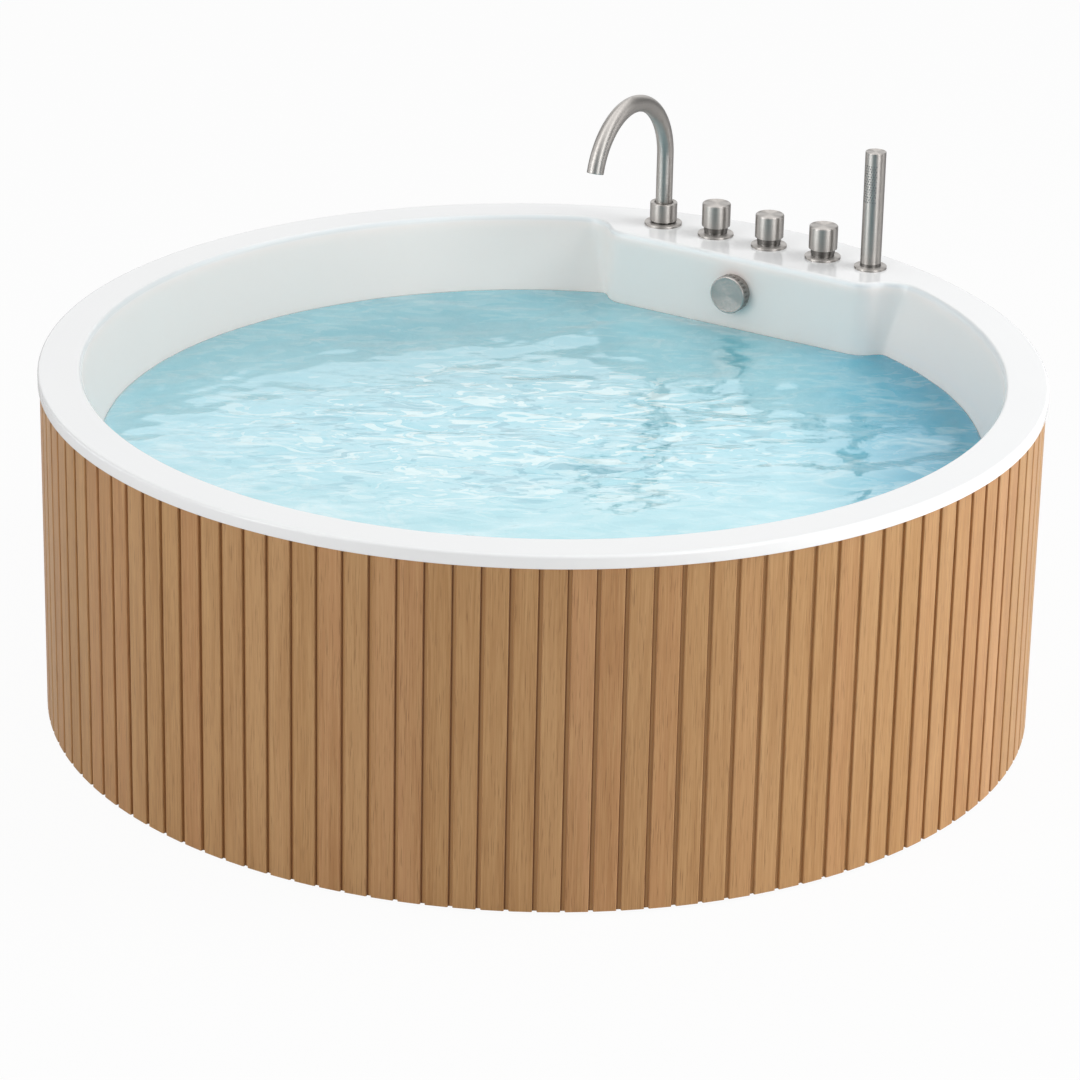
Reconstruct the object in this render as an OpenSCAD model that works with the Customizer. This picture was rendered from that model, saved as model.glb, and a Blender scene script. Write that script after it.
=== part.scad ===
// Round freestanding bathtub with a timber slat skirt, deck taps, pull-up handset and pop-up waste.
// Millimetres, +Z up. The origin is on the floor under the middle of the rim, and the tap deck is at +Y.

/* [Tub] */
// Outside diameter of the rim
tub_d = 1500; // [1440:10:1600]
// Depth of the basin below the rim's top
basin_depth = 440; // [400:5:480]
// Height of the basin's floor above the ground
basin_h = 100; // [96:1:130]
// Width of the rim's flat top, round the basin
rim_w = 61; // [55:1:66]
// Thickness of the moulded skin
skin = 6; // [4:0.5:8]
// Lean of the basin's side wall, in degrees
side_draft = 11.8; // [9:0.2:13]
// Radius between the side wall and the basin's floor
floor_round = 80; // [50:5:90]
// Height of the lip that turns down at the rim's edge
lip_drop = 20; // [14:1:26]
// Rounding of the rim's outer edge
rim_round = 4.5; // [2:0.5:6]
// Rounding of the basin's mouth
mouth_round = 5; // [3:0.5:8]

/* [Tap deck] */
// Half the length of that wall's straight stretch
deck_half = 208; // [200:1:214]
// Radius of the deck's outer corners
deck_corner = 45; // [38:1:50]
// Radius of the blend from a deck corner back into the round side
deck_blend = 55; // [45:1:62]
// Clearance between the outermost deck nut and the hoop under the rim
nut_clear = 4; // [3:0.5:12]
// Clearance between the overflow's elbow and the valves under the deck
valve_clear = 7; // [5:0.5:16]
// Spacing of the three knobs and the spout
tap_pitch = 98; // [92:1:100]
// Shift of the middle knob from the deck's middle
tap_shift = 17; // [10:1:24]
// Distance from the last knob to the handset
handset_pitch = 86; // [82:1:90]
// Radius of the holes for the taps
tap_hole_r = 15; // [14.5:0.1:16]

/* [Skirt] */
// Number of slats round the skirt, in four panels
slat_count = 120; // [112:4:128]
// Thickness of a slat
slat_t = 10; // [8:0.5:11]
// Gap between two slats
slat_gap = 6; // [3:0.5:10]
// Chamfer along a slat's long edges
slat_chamfer = 1.2; // [0.5:0.1:2]
// Distance that the slats stand back from the rim's edge
slat_setback = 3; // [2:0.5:5]
// Height of the slats' lower ends above the floor
slat_clear = 5; // [4:0.5:8]
// Thickness of the panel behind the slats
backing_t = 6; // [4:0.5:8]
// Thickness of the two hoops, across
hoop_w = 15; // [12:0.5:17]
// Height of the hoop under the rim
top_hoop_h = 38; // [25:1:42]

/* [Base] */
// Thickness of the board under the basin's floor
board_t = 18; // [12:1:20]
// Size of the square frame tube
rail_s = 30; // [25:1:30]
// Wall of the frame tube
rail_wall = 2; // [1.5:0.1:3]
// Distance of the frame rails from the middle
rail_off = 250; // [225:5:270]
// Distance of the feet along the rails from the middle
foot_off = 520; // [480:5:540]
// Radius of a foot's pad
pad_r = 25; // [20:1:30]
// Thickness of a foot's pad
pad_h = 12; // [10:0.5:14]
// Radius of a foot's threaded stem
stem_r = 6; // [5:0.5:7]

/* [Spout] */
// Outside radius of the spout's tube
spout_r = 13.5; // [12.5:0.5:15]
// Wall of the spout's tube
spout_wall = 2; // [1:0.25:3]
// Radius of the spout's bend
spout_bend = 112; // [95:1:120]
// Height of the bend's centre above the deck
spout_rise = 116; // [100:1:140]
// Angle of the spout's bend, in degrees
spout_sweep = 166; // [150:1:178]
// Radius of the collar round the spout's foot
collar_r = 22; // [20.5:0.5:24]
// Height of the collar's top above the deck
collar_h = 37; // [32:1:44]
// Radius of the spout's flange
spout_flange_r = 30.5; // [28:0.5:34]

/* [Knobs] */
// Radius of a knob's sleeve
knob_r = 23; // [21:0.5:25]
// Radius of the narrower foot of a knob
knob_foot_r = 19.4; // [19.2:0.1:20.8]
// Radius of the neck under a knob
neck_r = 18.5; // [17.5:0.1:19]
// Height of a knob's top above the deck
knob_h = 54; // [48:1:62]
// Length of a knob's sleeve
sleeve_h = 38; // [30:1:41]
// Radius of a knob's flange
knob_flange_r = 29; // [27:0.5:33]
// Thickness of every flange on the deck
flange_t = 4; // [3:0.25:5]
// Height of the neck between a flange and a knob
neck_h = 4; // [2.5:0.25:5]
// Radius of a valve's threaded shank through the deck
shank_r = 13.5; // [12.5:0.1:14]
// Radius of a valve's body under the deck
valve_r = 19; // [17.5:0.25:19.5]
// Radius of a knob's spindle
spindle_r = 4; // [3:0.25:5]

/* [Handset] */
// Radius of the handset
handset_r = 16.5; // [14:0.5:18]
// Height of the handset's top above the deck
handset_h = 192; // [170:1:220]
// Radius of the handset's flange
handset_flange_r = 26; // [24:0.5:28]
// Height of the spray face
spray_h = 68; // [50:1:80]
// Angle that the curved spray face takes of the handset's front, in degrees
spray_angle = 92; // [80:2:110]
// Rows of nozzles in the spray face, with six and five in turn
nozzle_rows = 15; // [11:2:15]
// Distance of the spray face's top below the handset's top
spray_drop = 17; // [12:1:25]

/* [Overflow] */
// Depth of the overflow's middle below the rim's top
overflow_drop = 58; // [54:1:66]
// Radius of the overflow knob
overflow_r = 30.5; // [28:0.5:33]
// Distance that the overflow knob stands out from the wall
overflow_out = 23; // [18:0.5:28]
// Radius of the overflow's neck through the wall
overflow_neck_r = 20; // [18:0.5:22]
// Radius of the overflow pipe
pipe_r = 19; // [17:0.5:20]

/* [Waste] */
// Distance of the drain in front of the straight wall
drain_gap = 199; // [160:1:220]
// Radius of the drain's flange
drain_flange_r = 36; // [34:0.5:38]
// Radius of the plug
plug_r = 30; // [28:0.5:31]
// Lift of the plug when it is open
plug_lift = 10; // [6:0.5:12]
// Radius of the waste's tail, which takes the drain pipe
tail_r = 20; // [19:0.5:22]

/* [Hidden] */
$fn = 96;

seat = 0.3;        // gap where two pieces only rest against each other
run = 0.08;        // radial gap of a turning fit
over = 1;          // how far a cutter runs past a face

// Tub
tub_r = tub_d / 2;
mouth_r = tub_r - rim_w - mouth_round / 2;
floor_z = basin_h;
rim_h = basin_h + basin_depth;
fillet_x = wall_r(floor_z + floor_round) - floor_round / cos(side_draft);
fillet_z = floor_z + floor_round;
lip_r = tub_r - skin;

// Skirt
slat_out = tub_r - slat_setback;
backing_out = slat_out - slat_t;
backing_in = backing_out - backing_t;
hoop_out = backing_in - seat;
slat_top = rim_h - lip_drop - seat;
under = rim_h - skin;
backing_top = under - seat;
slat_step = 360 / slat_count;
panel_slats = slat_count / 4;
panel_start = 45;

// Tap deck: its depth is what the hoop, the nuts, the valves and the overflow's elbow take up
diverter_x = tap_shift;
hot_x = tap_shift - tap_pitch;
spout_x = tap_shift - 2 * tap_pitch;
cold_x = tap_shift + tap_pitch;
handset_x = cold_x + handset_pitch;
tap_xs = [spout_x, hot_x, diverter_x, cold_x, handset_x];
washer_t = 2;
deck_nut_t = 10;
deck_nut_r = shank_r + 9;
gasket_t = 3;
elbow_wall = 3;
elbow_depth = 2 * (pipe_r + elbow_wall);
tap_reach = hoop_out - hoop_w - deck_nut_r - nut_clear;
tap_y = sqrt(pow(tap_reach, 2) - pow(handset_x, 2));
deck_y = tap_y - valve_r - valve_clear - elbow_depth - gasket_t - skin;
corner_c = [deck_half, deck_y + deck_corner];
blend_c = blend_centre(corner_c, mouth_r - deck_blend, deck_corner + deck_blend);

// Base
board_top = floor_z - skin;
board_z = board_top - board_t;
rail_z = board_z - rail_s;
rail_x = sqrt(pow(hoop_out, 2) - pow(rail_off + rail_s / 2, 2)) - 2;
foot_places = [for (a = [-1, 1], b = [-1, 1])
    each [[a * foot_off, b * rail_off], [b * rail_off, a * foot_off]]];
nut_t = 10;
nut_flats = 3.2 * stem_r;

// Fittings under the deck
valve_top = under - washer_t - deck_nut_t - 2;
valve_h = 70;
valve_bottom = valve_top - valve_h;
link_z = valve_top - 24;
feed_z = valve_top - 52;
boss_r = 10;
boss_reach = valve_r + 8;
link_r = 7.5;
feed_r = 7;
feed_boss = valve_r + 3;
feed_bend = 13;
inlet_r = 10.5;
inlet_h = 22;
gland_h = 12;

// Knobs
knob_z = rim_h + flange_t + neck_h + seat;
knob_top = rim_h + knob_h;
sleeve_z = knob_top - sleeve_h;
knob_wall = 4;
hub_r = spindle_r + 3.5;

// Spout
shank_top = rim_h + 12;
spout_foot = shank_top + seat;
spout_top = rim_h + spout_rise;
outlet_in = 9;

// Handset
handset_z = rim_h + flange_t + neck_h + seat;
handset_top = rim_h + handset_h;
connector_r = 10.5;
guide_bore = connector_r + 0.3;
guide_low = rim_h - 70;
spray_depth = 3;
spray_z = handset_top - spray_drop - spray_h;
nozzle_r = 0.8;
nozzle_step = (spray_angle - 22) / 5;

// Overflow and waste
overflow_z = rim_h - overflow_drop;
elbow_y = deck_y + skin + gasket_t + pipe_r + elbow_wall;
pipe_wall = 2.2;
pipe_low = board_z - pipe_r - 5;
pipe_bend = 40;
bezel_t = 3;
drain_y = deck_y - drain_gap;
waste_cup_r = 32;
waste_low = pipe_low - pipe_r - 4;
drain_bore = 18;
neck_out = 24;
plug_t = 5;
plug_z = floor_z + 3 + seat;
plug_stem_r = 4;
guide_h = 8;
guide_z = floor_z - 22;

// Radius of the basin's side wall at a height
function wall_r(z) = mouth_r - (rim_h - z) * tan(side_draft);

// Points of an arc about [x, y], from one angle to another
function arc(x, y, r, from, to, steps) =
    [for (i = [0:steps]) let (a = from + (to - from) * i / steps) [x + r * cos(a), y + r * sin(a)]];

// Centre of the blend: at a distance from the origin and at another from the deck corner's centre
function blend_centre(c, reach, apart) =
    let (d = norm(c), a = atan2(c[1], c[0]) - acos((d * d + reach * reach - apart * apart) / (2 * d * reach)))
    [reach * cos(a), reach * sin(a)];

// Right half of the deck block's outline, drawn back by an inset, from the straight wall outwards
function deck_side(inset) =
    let (lean = atan2(blend_c[1] - corner_c[1], blend_c[0] - corner_c[0]),
         out = atan2(blend_c[1], blend_c[0]),
         reach = tub_r + 60)
    concat(arc(corner_c[0], corner_c[1], deck_corner - inset, -90, lean, 8),
           arc(blend_c[0], blend_c[1], deck_blend + inset, lean + 180, out, 8),
           [[blend_c[0] + reach * cos(out) - norm(blend_c) * cos(out),
             blend_c[1] + reach * sin(out) - norm(blend_c) * sin(out)]]);

function flip(points) = [for (i = [len(points) - 1:-1:0]) [-points[i][0], points[i][1]]];

module deck_block(inset, low, high) {
    side = deck_side(inset);
    translate([0, 0, low]) linear_extrude(high - low) polygon(concat(side, flip(side)));
}

module tube(outer, inner, low, high) {
    difference() {
        translate([0, 0, low]) cylinder(h = high - low, r = outer);
        translate([0, 0, low - over]) cylinder(h = high - low + 2 * over, r = inner);
    }
}

module hex_nut(r, bore, low, high) {
    difference() {
        translate([0, 0, low]) cylinder(h = high - low, r = r, $fn = 6);
        translate([0, 0, low - over]) cylinder(h = high - low + 2 * over, r = bore);
    }
}

module at_taps() { for (x = tap_xs) translate([x, tap_y, 0]) children(); }

// Tub

module basin_solid() {
    rotate_extrude($fn = 240) polygon(concat(
        [[0, board_top]],
        arc(fillet_x, fillet_z, floor_round + skin, -90, -side_draft, 12),
        [[wall_r(under) + skin / cos(side_draft), under], [lip_r, under],
         [lip_r, rim_h - lip_drop], [tub_r, rim_h - lip_drop]],
        arc(tub_r - rim_round, rim_h - rim_round, rim_round, 0, 90, 6),
        [[0, rim_h]]));
}

module basin_cavity() {
    round_x = wall_r(rim_h - mouth_round) + mouth_round / cos(side_draft);
    difference() {
        rotate_extrude($fn = 240) polygon(concat(
            [[0, floor_z]],
            arc(fillet_x, fillet_z, floor_round, -90, -side_draft, 12),
            arc(round_x, rim_h - mouth_round, mouth_round, 180 - side_draft, 90, 6),
            [[round_x, rim_h + over], [0, rim_h + over]]));
        deck_block(0, 0, rim_h + 2 * over);
    }
}

module tub_shell() color("white") {
    difference() {
        basin_solid();
        basin_cavity();
        intersection() {
            deck_block(skin, 0, under);
            cylinder(h = rim_h, r = lip_r - 2 * skin, $fn = 240);
        }
        at_taps() translate([0, 0, under - over]) cylinder(h = skin + 2 * over, r = tap_hole_r);
        translate([0, deck_y - over, overflow_z]) rotate([-90, 0, 0])
            cylinder(h = skin + 2 * over, r = overflow_neck_r + seat);
        translate([0, drain_y, board_top - over]) cylinder(h = skin + 2 * over, r = neck_out + seat);
    }
}

// Base

module base_board() color("burlywood") {
    difference() {
        translate([0, 0, board_z]) cylinder(h = board_t, r = fillet_x - 20);
        translate([0, drain_y, board_z - over]) cylinder(h = board_t + 2 * over, r = waste_cup_r + 16);
    }
}

module rail(length) {
    difference() {
        translate([-length / 2, -rail_s / 2, rail_z]) cube([length, rail_s, rail_s]);
        translate([-length / 2 - over, rail_wall - rail_s / 2, rail_z + rail_wall])
            cube([length + 2 * over, rail_s - 2 * rail_wall, rail_s - 2 * rail_wall]);
    }
}

module stem_holes() {
    for (p = foot_places) translate([p[0], p[1], rail_z - over])
        cylinder(h = rail_s + 2 * over, r = stem_r + seat, $fn = 32);
}

module frame_rails() color("dimgray") {
    difference() {
        for (s = [-1, 1]) translate([0, s * rail_off, 0]) rail(2 * rail_x);
        stem_holes();
    }
}

module frame_crossbars() color("dimgray") {
    inner = 2 * rail_off - rail_s;
    stub = rail_x - rail_off - rail_s / 2;
    difference() {
        for (s = [-1, 1]) translate([s * rail_off, 0, 0]) {
            rotate([0, 0, 90]) rail(inner);
            for (e = [-1, 1]) translate([0, e * (rail_off + rail_s / 2 + stub / 2), 0])
                rotate([0, 0, 90]) rail(stub);
        }
        stem_holes();
    }
}

module foot_pads() color("black") {
    for (p = foot_places) translate([p[0], p[1], 0]) difference() {
        union() {
            cylinder(h = pad_h / 2, r = pad_r, $fn = 48);
            translate([0, 0, pad_h / 2]) cylinder(h = pad_h / 2, r1 = pad_r, r2 = pad_r * 0.6, $fn = 48);
        }
        translate([0, 0, pad_h / 2]) cylinder(h = pad_h, r = stem_r, $fn = 32);
    }
}

module foot_stems() color("silver") {
    for (p = foot_places) translate([p[0], p[1], pad_h / 2])
        cylinder(h = board_z - pad_h / 2 - 2, r = stem_r, $fn = 32);
}

module foot_nuts() color("silver") {
    for (p = foot_places) translate([p[0], p[1], 0]) hex_nut(nut_flats / 2, stem_r, rail_z - nut_t, rail_z);
}

// Skirt

module hoop(low, high) {
    difference() {
        translate([0, 0, low]) cylinder(h = high - low, r = hoop_out, $fn = 240);
        translate([0, 0, low - over]) cylinder(h = high - low + 2 * over, r = hoop_out - hoop_w, $fn = 240);
    }
}

module bottom_hoop() color("tan") hoop(slat_clear + 1, rail_z);

module top_hoop() color("tan") hoop(backing_top - top_hoop_h, backing_top);

// A panel is a run of flats, one behind each slat
module backing_panel(quarter) {
    half = slat_step / 2;
    first = panel_start + 90 * quarter;
    corners = [for (i = [0:panel_slats]) first + (i - 0.5) * slat_step];
    outer = [for (a = corners) backing_out / cos(half) * [cos(a), sin(a)]];
    inner = [for (i = [panel_slats:-1:0]) backing_in / cos(half) * [cos(corners[i]), sin(corners[i])]];
    translate([0, 0, slat_clear + 1]) linear_extrude(backing_top - slat_clear - 1)
        polygon(concat(outer, inner));
}

module slat() {
    w = 2 * backing_out * tan(slat_step / 2) - slat_gap;
    c = slat_chamfer;
    translate([0, 0, slat_clear]) linear_extrude(slat_top - slat_clear) polygon([
        [backing_out, -w / 2], [slat_out - c, -w / 2], [slat_out, c - w / 2],
        [slat_out, w / 2 - c], [slat_out - c, w / 2], [backing_out, w / 2]]);
}

module slat_panel(quarter) {
    for (i = [0:panel_slats - 1]) rotate([0, 0, panel_start + 90 * quarter + i * slat_step]) slat();
}

module backing_rear() color("saddlebrown") backing_panel(0);
module backing_left() color("saddlebrown") backing_panel(1);
module backing_front() color("saddlebrown") backing_panel(2);
module backing_right() color("saddlebrown") backing_panel(3);
module slats_rear() color("peru") slat_panel(0);
module slats_left() color("peru") slat_panel(1);
module slats_front() color("peru") slat_panel(2);
module slats_right() color("peru") slat_panel(3);

// Spout

module deck_flange(r, bore) {
    difference() {
        translate([0, 0, rim_h]) union() {
            cylinder(h = flange_t - 1, r = r);
            translate([0, 0, flange_t - 1]) cylinder(h = 1, r1 = r, r2 = r - 1);
        }
        translate([0, 0, rim_h - over]) cylinder(h = flange_t + 2 * over, r = bore);
    }
}

module spout_flange() color("silver") translate([spout_x, tap_y, 0]) deck_flange(spout_flange_r, shank_r);

module spout_collar() color("silver") translate([spout_x, tap_y, 0]) {
    low = rim_h + flange_t;
    high = rim_h + collar_h;
    difference() {
        union() {
            translate([0, 0, low]) cylinder(h = 3, r = collar_r - 2);
            translate([0, 0, low + 3]) cylinder(h = high - low - 4, r = collar_r);
            translate([0, 0, high - 1]) cylinder(h = 1, r1 = collar_r, r2 = collar_r - 1);
        }
        translate([0, 0, low - over]) cylinder(h = high, r = spout_r + run);
        translate([0, 0, high - 3]) cylinder(h = 3 + over, r = spout_r + 2);
    }
}

module spout_shank() color("goldenrod") translate([spout_x, tap_y, 0]) {
    difference() {
        union() {
            translate([0, 0, valve_top - over])
                cylinder(h = rim_h + flange_t - valve_top + over, r = shank_r);
            translate([0, 0, rim_h + flange_t])
                cylinder(h = shank_top - rim_h - flange_t, r = min(shank_r, spout_r - 1));
            translate([0, 0, valve_bottom + 10]) cylinder(h = valve_h - 10, r = valve_r);
            translate([0, 0, feed_z]) rotate([-90, 0, 0]) cylinder(h = feed_boss, r = boss_r);
        }
        translate([0, 0, feed_z]) cylinder(h = rim_h, r = spout_r - spout_wall - 5);
        translate([0, 0, feed_z]) rotate([-90, 0, 0]) cylinder(h = feed_boss + over, r = feed_r - 1.5);
    }
}

// Hollow bend in the YZ plane about the origin, from +Y towards +Z
module tube_bend(bend, r, inner, from, angle) {
    rotate([90, 0, 90]) rotate([0, 0, from]) rotate_extrude(angle = angle) translate([bend, 0]) difference() {
        circle(r = r);
        circle(r = inner);
    }
}

// Places its children at the spout's mouth, with Z pointing back up the tube
module at_outlet() {
    translate([0, -spout_bend, spout_top]) rotate([spout_sweep, 0, 0]) translate([0, spout_bend, 0])
        rotate([180, 0, 0]) children();
}

module spout_tube() color("silver") translate([spout_x, tap_y, 0]) {
    inner = spout_r - spout_wall;
    tube(spout_r, inner, spout_foot, spout_top);
    translate([0, -spout_bend, spout_top]) tube_bend(spout_bend, spout_r, inner, 0, spout_sweep);
}

module aerator() color("dimgray") translate([spout_x, tap_y, 0]) {
    at_outlet() translate([0, 0, 1]) cylinder(h = outlet_in, r = spout_r - spout_wall - 0.6);
}

// Knobs and valves

module knob_shape() {
    inner_r = neck_r - knob_wall + 2;
    difference() {
        rotate_extrude() polygon([
            [0, knob_z], [knob_foot_r, knob_z], [knob_foot_r, sleeve_z], [knob_r, sleeve_z],
            [knob_r, knob_top - 1], [knob_r - 1, knob_top], [knob_r - 2.5, knob_top], [0, knob_top - 1]]);
        translate([0, 0, knob_z - over]) difference() {
            cylinder(h = knob_top - knob_z - knob_wall, r = inner_r);
            translate([0, 0, gland_h]) cylinder(h = knob_top, r = hub_r);
        }
        translate([0, 0, knob_z - over]) cylinder(h = knob_top - knob_z - 2 * knob_wall, r = spindle_r);
    }
}

module spindle_shape() {
    top = knob_top - 2 * knob_wall - over;
    translate([0, 0, rim_h - 8]) cylinder(h = top - rim_h + 8, r = spindle_r);
}

module knob_flange() {
    deck_flange(knob_flange_r, shank_r);
    tube(neck_r, shank_r, rim_h + flange_t, rim_h + flange_t + neck_h);
}

// The valve under a knob: its threaded shank, its body and the bosses on it
module valve(link_sides, tail, feed) {
    difference() {
        union() {
            translate([0, 0, valve_top - over])
                cylinder(h = rim_h + flange_t - valve_top + over, r = shank_r);
            translate([0, 0, rim_h + flange_t]) cylinder(h = gland_h - flange_t, r = shank_r - 2);
            translate([0, 0, valve_bottom]) cylinder(h = valve_h, r = valve_r);
            for (s = link_sides) translate([0, 0, link_z]) rotate([0, s * 90, 0])
                cylinder(h = boss_reach, r = boss_r);
            if (tail) translate([0, 0, valve_bottom - inlet_h]) cylinder(h = inlet_h + over, r = inlet_r);
            if (feed) translate([0, 0, feed_z]) rotate([-90, 0, 0]) cylinder(h = feed_boss, r = boss_r);
        }
        translate([0, 0, rim_h - 9]) cylinder(h = gland_h + 20, r = spindle_r + run);
    }
}

module hot_flange() color("silver") translate([hot_x, tap_y, 0]) knob_flange();
module hot_valve() color("goldenrod") translate([hot_x, tap_y, 0]) valve([1], true, false);
module hot_spindle() color("goldenrod") translate([hot_x, tap_y, 0]) spindle_shape();
module hot_knob() color("silver") translate([hot_x, tap_y, 0]) knob_shape();
module diverter_flange() color("silver") translate([diverter_x, tap_y, 0]) knob_flange();
module diverter_valve() color("goldenrod") translate([diverter_x, tap_y, 0]) valve([-1, 1], true, true);
module diverter_spindle() color("goldenrod") translate([diverter_x, tap_y, 0]) spindle_shape();
module diverter_knob() color("silver") translate([diverter_x, tap_y, 0]) knob_shape();
module cold_flange() color("silver") translate([cold_x, tap_y, 0]) knob_flange();
module cold_valve() color("goldenrod") translate([cold_x, tap_y, 0]) valve([-1], true, false);
module cold_spindle() color("goldenrod") translate([cold_x, tap_y, 0]) spindle_shape();
module cold_knob() color("silver") translate([cold_x, tap_y, 0]) knob_shape();

module mixing_pipes() color("goldenrod") {
    for (x = [hot_x, diverter_x]) translate([x + boss_reach, tap_y, link_z]) rotate([0, 90, 0])
        cylinder(h = tap_pitch - 2 * boss_reach, r = link_r);
}

// Runs round the back of the hot valve, from the diverter to the spout's shank
module spout_feed_pipe() color("goldenrod") translate([0, tap_y + feed_boss, feed_z]) {
    run_length = 2 * tap_pitch - 2 * feed_bend;
    translate([diverter_x - feed_bend, 0, 0]) rotate_extrude(angle = 90)
        translate([feed_bend, 0]) circle(r = feed_r);
    translate([spout_x + feed_bend, 0, 0]) rotate([0, 0, 90]) rotate_extrude(angle = 90)
        translate([feed_bend, 0]) circle(r = feed_r);
    translate([spout_x + feed_bend, feed_bend, 0]) rotate([0, 90, 0]) cylinder(h = run_length, r = feed_r);
}

module deck_washers() color("dimgray") at_taps() tube(deck_nut_r, shank_r, under - washer_t, under);

module deck_nuts() color("goldenrod") at_taps()
    hex_nut(deck_nut_r, shank_r, under - washer_t - deck_nut_t, under - washer_t);

// Handset

module handset_flange() color("silver") translate([handset_x, tap_y, 0]) {
    deck_flange(handset_flange_r, shank_r);
    tube(shank_r + 1.5, shank_r, rim_h + flange_t, rim_h + flange_t + neck_h);
}

module handset_guide() color("goldenrod") translate([handset_x, tap_y, 0])
    tube(shank_r, guide_bore, guide_low, rim_h + flange_t + neck_h);

module handset_connector() color("goldenrod") translate([handset_x, tap_y, 0]) {
    translate([0, 0, guide_low + 10]) cylinder(h = handset_z - guide_low - 10, r = connector_r);
}

// Curved slab in the handset's front, from one radius to another, drawn back by an inset at its ends
module spray_slab(inner, outer, inset) {
    turn = asin(inset / handset_r);
    translate([0, 0, spray_z + inset]) rotate([0, 0, turn - 90 - spray_angle / 2])
        rotate_extrude(angle = spray_angle - 2 * turn) translate([inner, 0])
            square([outer - inner, spray_h - 2 * inset]);
}

module handset_body() color("silver") translate([handset_x, tap_y, 0]) {
    difference() {
        rotate_extrude() polygon([
            [0, handset_z], [handset_r - 0.8, handset_z], [handset_r, handset_z + 0.8],
            [handset_r, handset_top - 1], [handset_r - 1, handset_top], [0, handset_top]]);
        spray_slab(handset_r - spray_depth, handset_r + over, 0);
    }
}

// Staggered rows of nozzles on the curved face: six in one row, five in the next
module spray_face() color("dimgray") translate([handset_x, tap_y, 0]) {
    spray_slab(handset_r - spray_depth, handset_r - 0.6, 0.1);
    for (row = [0:nozzle_rows - 1]) {
        count = 6 - row % 2;
        z = spray_z + spray_h * (row + 0.5) / nozzle_rows;
        for (i = [0:count - 1]) rotate([0, 0, (i - (count - 1) / 2) * nozzle_step - 90])
            translate([handset_r - 1.6, 0, z]) rotate([0, 90, 0])
                cylinder(h = 1.7, r1 = nozzle_r + 0.2, r2 = nozzle_r, $fn = 16);
    }
}

// Overflow

module on_wall(y) { translate([0, y, overflow_z]) rotate([-90, 0, 0]) children(); }

module overflow_bezel() color("silver") {
    on_wall(deck_y - bezel_t) difference() {
        union() {
            cylinder(h = bezel_t, r = overflow_r - 2);
            cylinder(h = bezel_t + skin + gasket_t, r = overflow_neck_r);
        }
        translate([0, 0, -over]) cylinder(h = bezel_t + skin + gasket_t + 2 * over, r = overflow_neck_r - 3);
    }
}

module overflow_gasket() color("black") {
    on_wall(deck_y + skin) tube(overflow_neck_r + 9, overflow_neck_r, 0, gasket_t);
}

// The elbow behind the wall: it is open to the neck in front and to the pipe below
module overflow_body() color("whitesmoke") {
    front = deck_y + skin + gasket_t;
    difference() {
        union() {
            on_wall(front) cylinder(h = elbow_depth, r = overflow_neck_r + 6);
            translate([0, elbow_y, overflow_z - 48]) cylinder(h = 48, r = pipe_r + elbow_wall);
        }
        on_wall(front - over) cylinder(h = elbow_depth - elbow_wall + over, r = overflow_neck_r - 2);
        translate([0, elbow_y, overflow_z - 50]) cylinder(h = 22, r = pipe_r);
        translate([0, elbow_y, overflow_z - 50]) cylinder(h = 50, r = pipe_r - elbow_wall);
        on_wall(front) cylinder(h = elbow_depth + over, r = spindle_r + run);
    }
}

module overflow_pipe() color("whitesmoke") {
    inner = pipe_r - pipe_wall;
    end_y = drain_y + waste_cup_r;
    translate([0, elbow_y, 0]) tube(pipe_r, inner, pipe_low + pipe_bend, overflow_z - 28);
    translate([0, elbow_y - pipe_bend, pipe_low + pipe_bend]) tube_bend(pipe_bend, pipe_r, inner, -90, 90);
    translate([0, 0, pipe_low]) rotate([-90, 0, 0]) tube(pipe_r, inner, end_y, elbow_y - pipe_bend);
}

module overflow_spindle() color("goldenrod") {
    on_wall(deck_y - overflow_out + 5)
        cylinder(h = overflow_out + skin + gasket_t + elbow_depth - 8, r = spindle_r);
}

module overflow_knob() color("silver") {
    depth = overflow_out - bezel_t - 4;
    on_wall(deck_y - overflow_out) difference() {
        rotate_extrude() polygon([
            [0, 0.8], [overflow_r - 3, 0], [overflow_r - 1.2, 0], [overflow_r, 1.2],
            [overflow_r, depth], [0, depth]]);
        translate([0, 0, 5]) difference() {
            cylinder(h = depth, r = overflow_r - 3);
            cylinder(h = depth, r = spindle_r + 4);
        }
        translate([0, 0, 5]) cylinder(h = depth, r = spindle_r);
        for (i = [0:23]) rotate([0, 0, 15 * i]) translate([overflow_r - 5, -1.5, depth - 5]) cube([8, 3, 6]);
    }
}

// Waste

module waste_flange() color("silver") translate([0, drain_y, 0]) {
    difference() {
        union() {
            translate([0, 0, floor_z]) cylinder(h = 2, r = drain_flange_r);
            translate([0, 0, floor_z + 2]) cylinder(h = 1, r1 = drain_flange_r, r2 = drain_flange_r - 2);
            translate([0, 0, board_z]) cylinder(h = floor_z - board_z, r = neck_out);
        }
        translate([0, 0, board_z - over]) cylinder(h = board_t + skin + 5 + over, r = drain_bore);
        translate([0, 0, floor_z - 1]) cylinder(h = 10, r1 = drain_bore, r2 = plug_r - 2);
    }
    difference() {
        translate([0, 0, guide_z]) union() {
            cylinder(h = guide_h, r = plug_stem_r + 3);
            for (a = [0, 90]) rotate([0, 0, a])
                translate([-drain_bore - over, -1.5, 0]) cube([2 * drain_bore + 2 * over, 3, guide_h]);
        }
        translate([0, 0, guide_z - over]) cylinder(h = guide_h + 2 * over, r = plug_stem_r + run);
    }
}

module waste_gasket() color("black") translate([0, drain_y, 0])
    tube(neck_out + 14, neck_out, board_top - 3, board_top);

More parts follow.
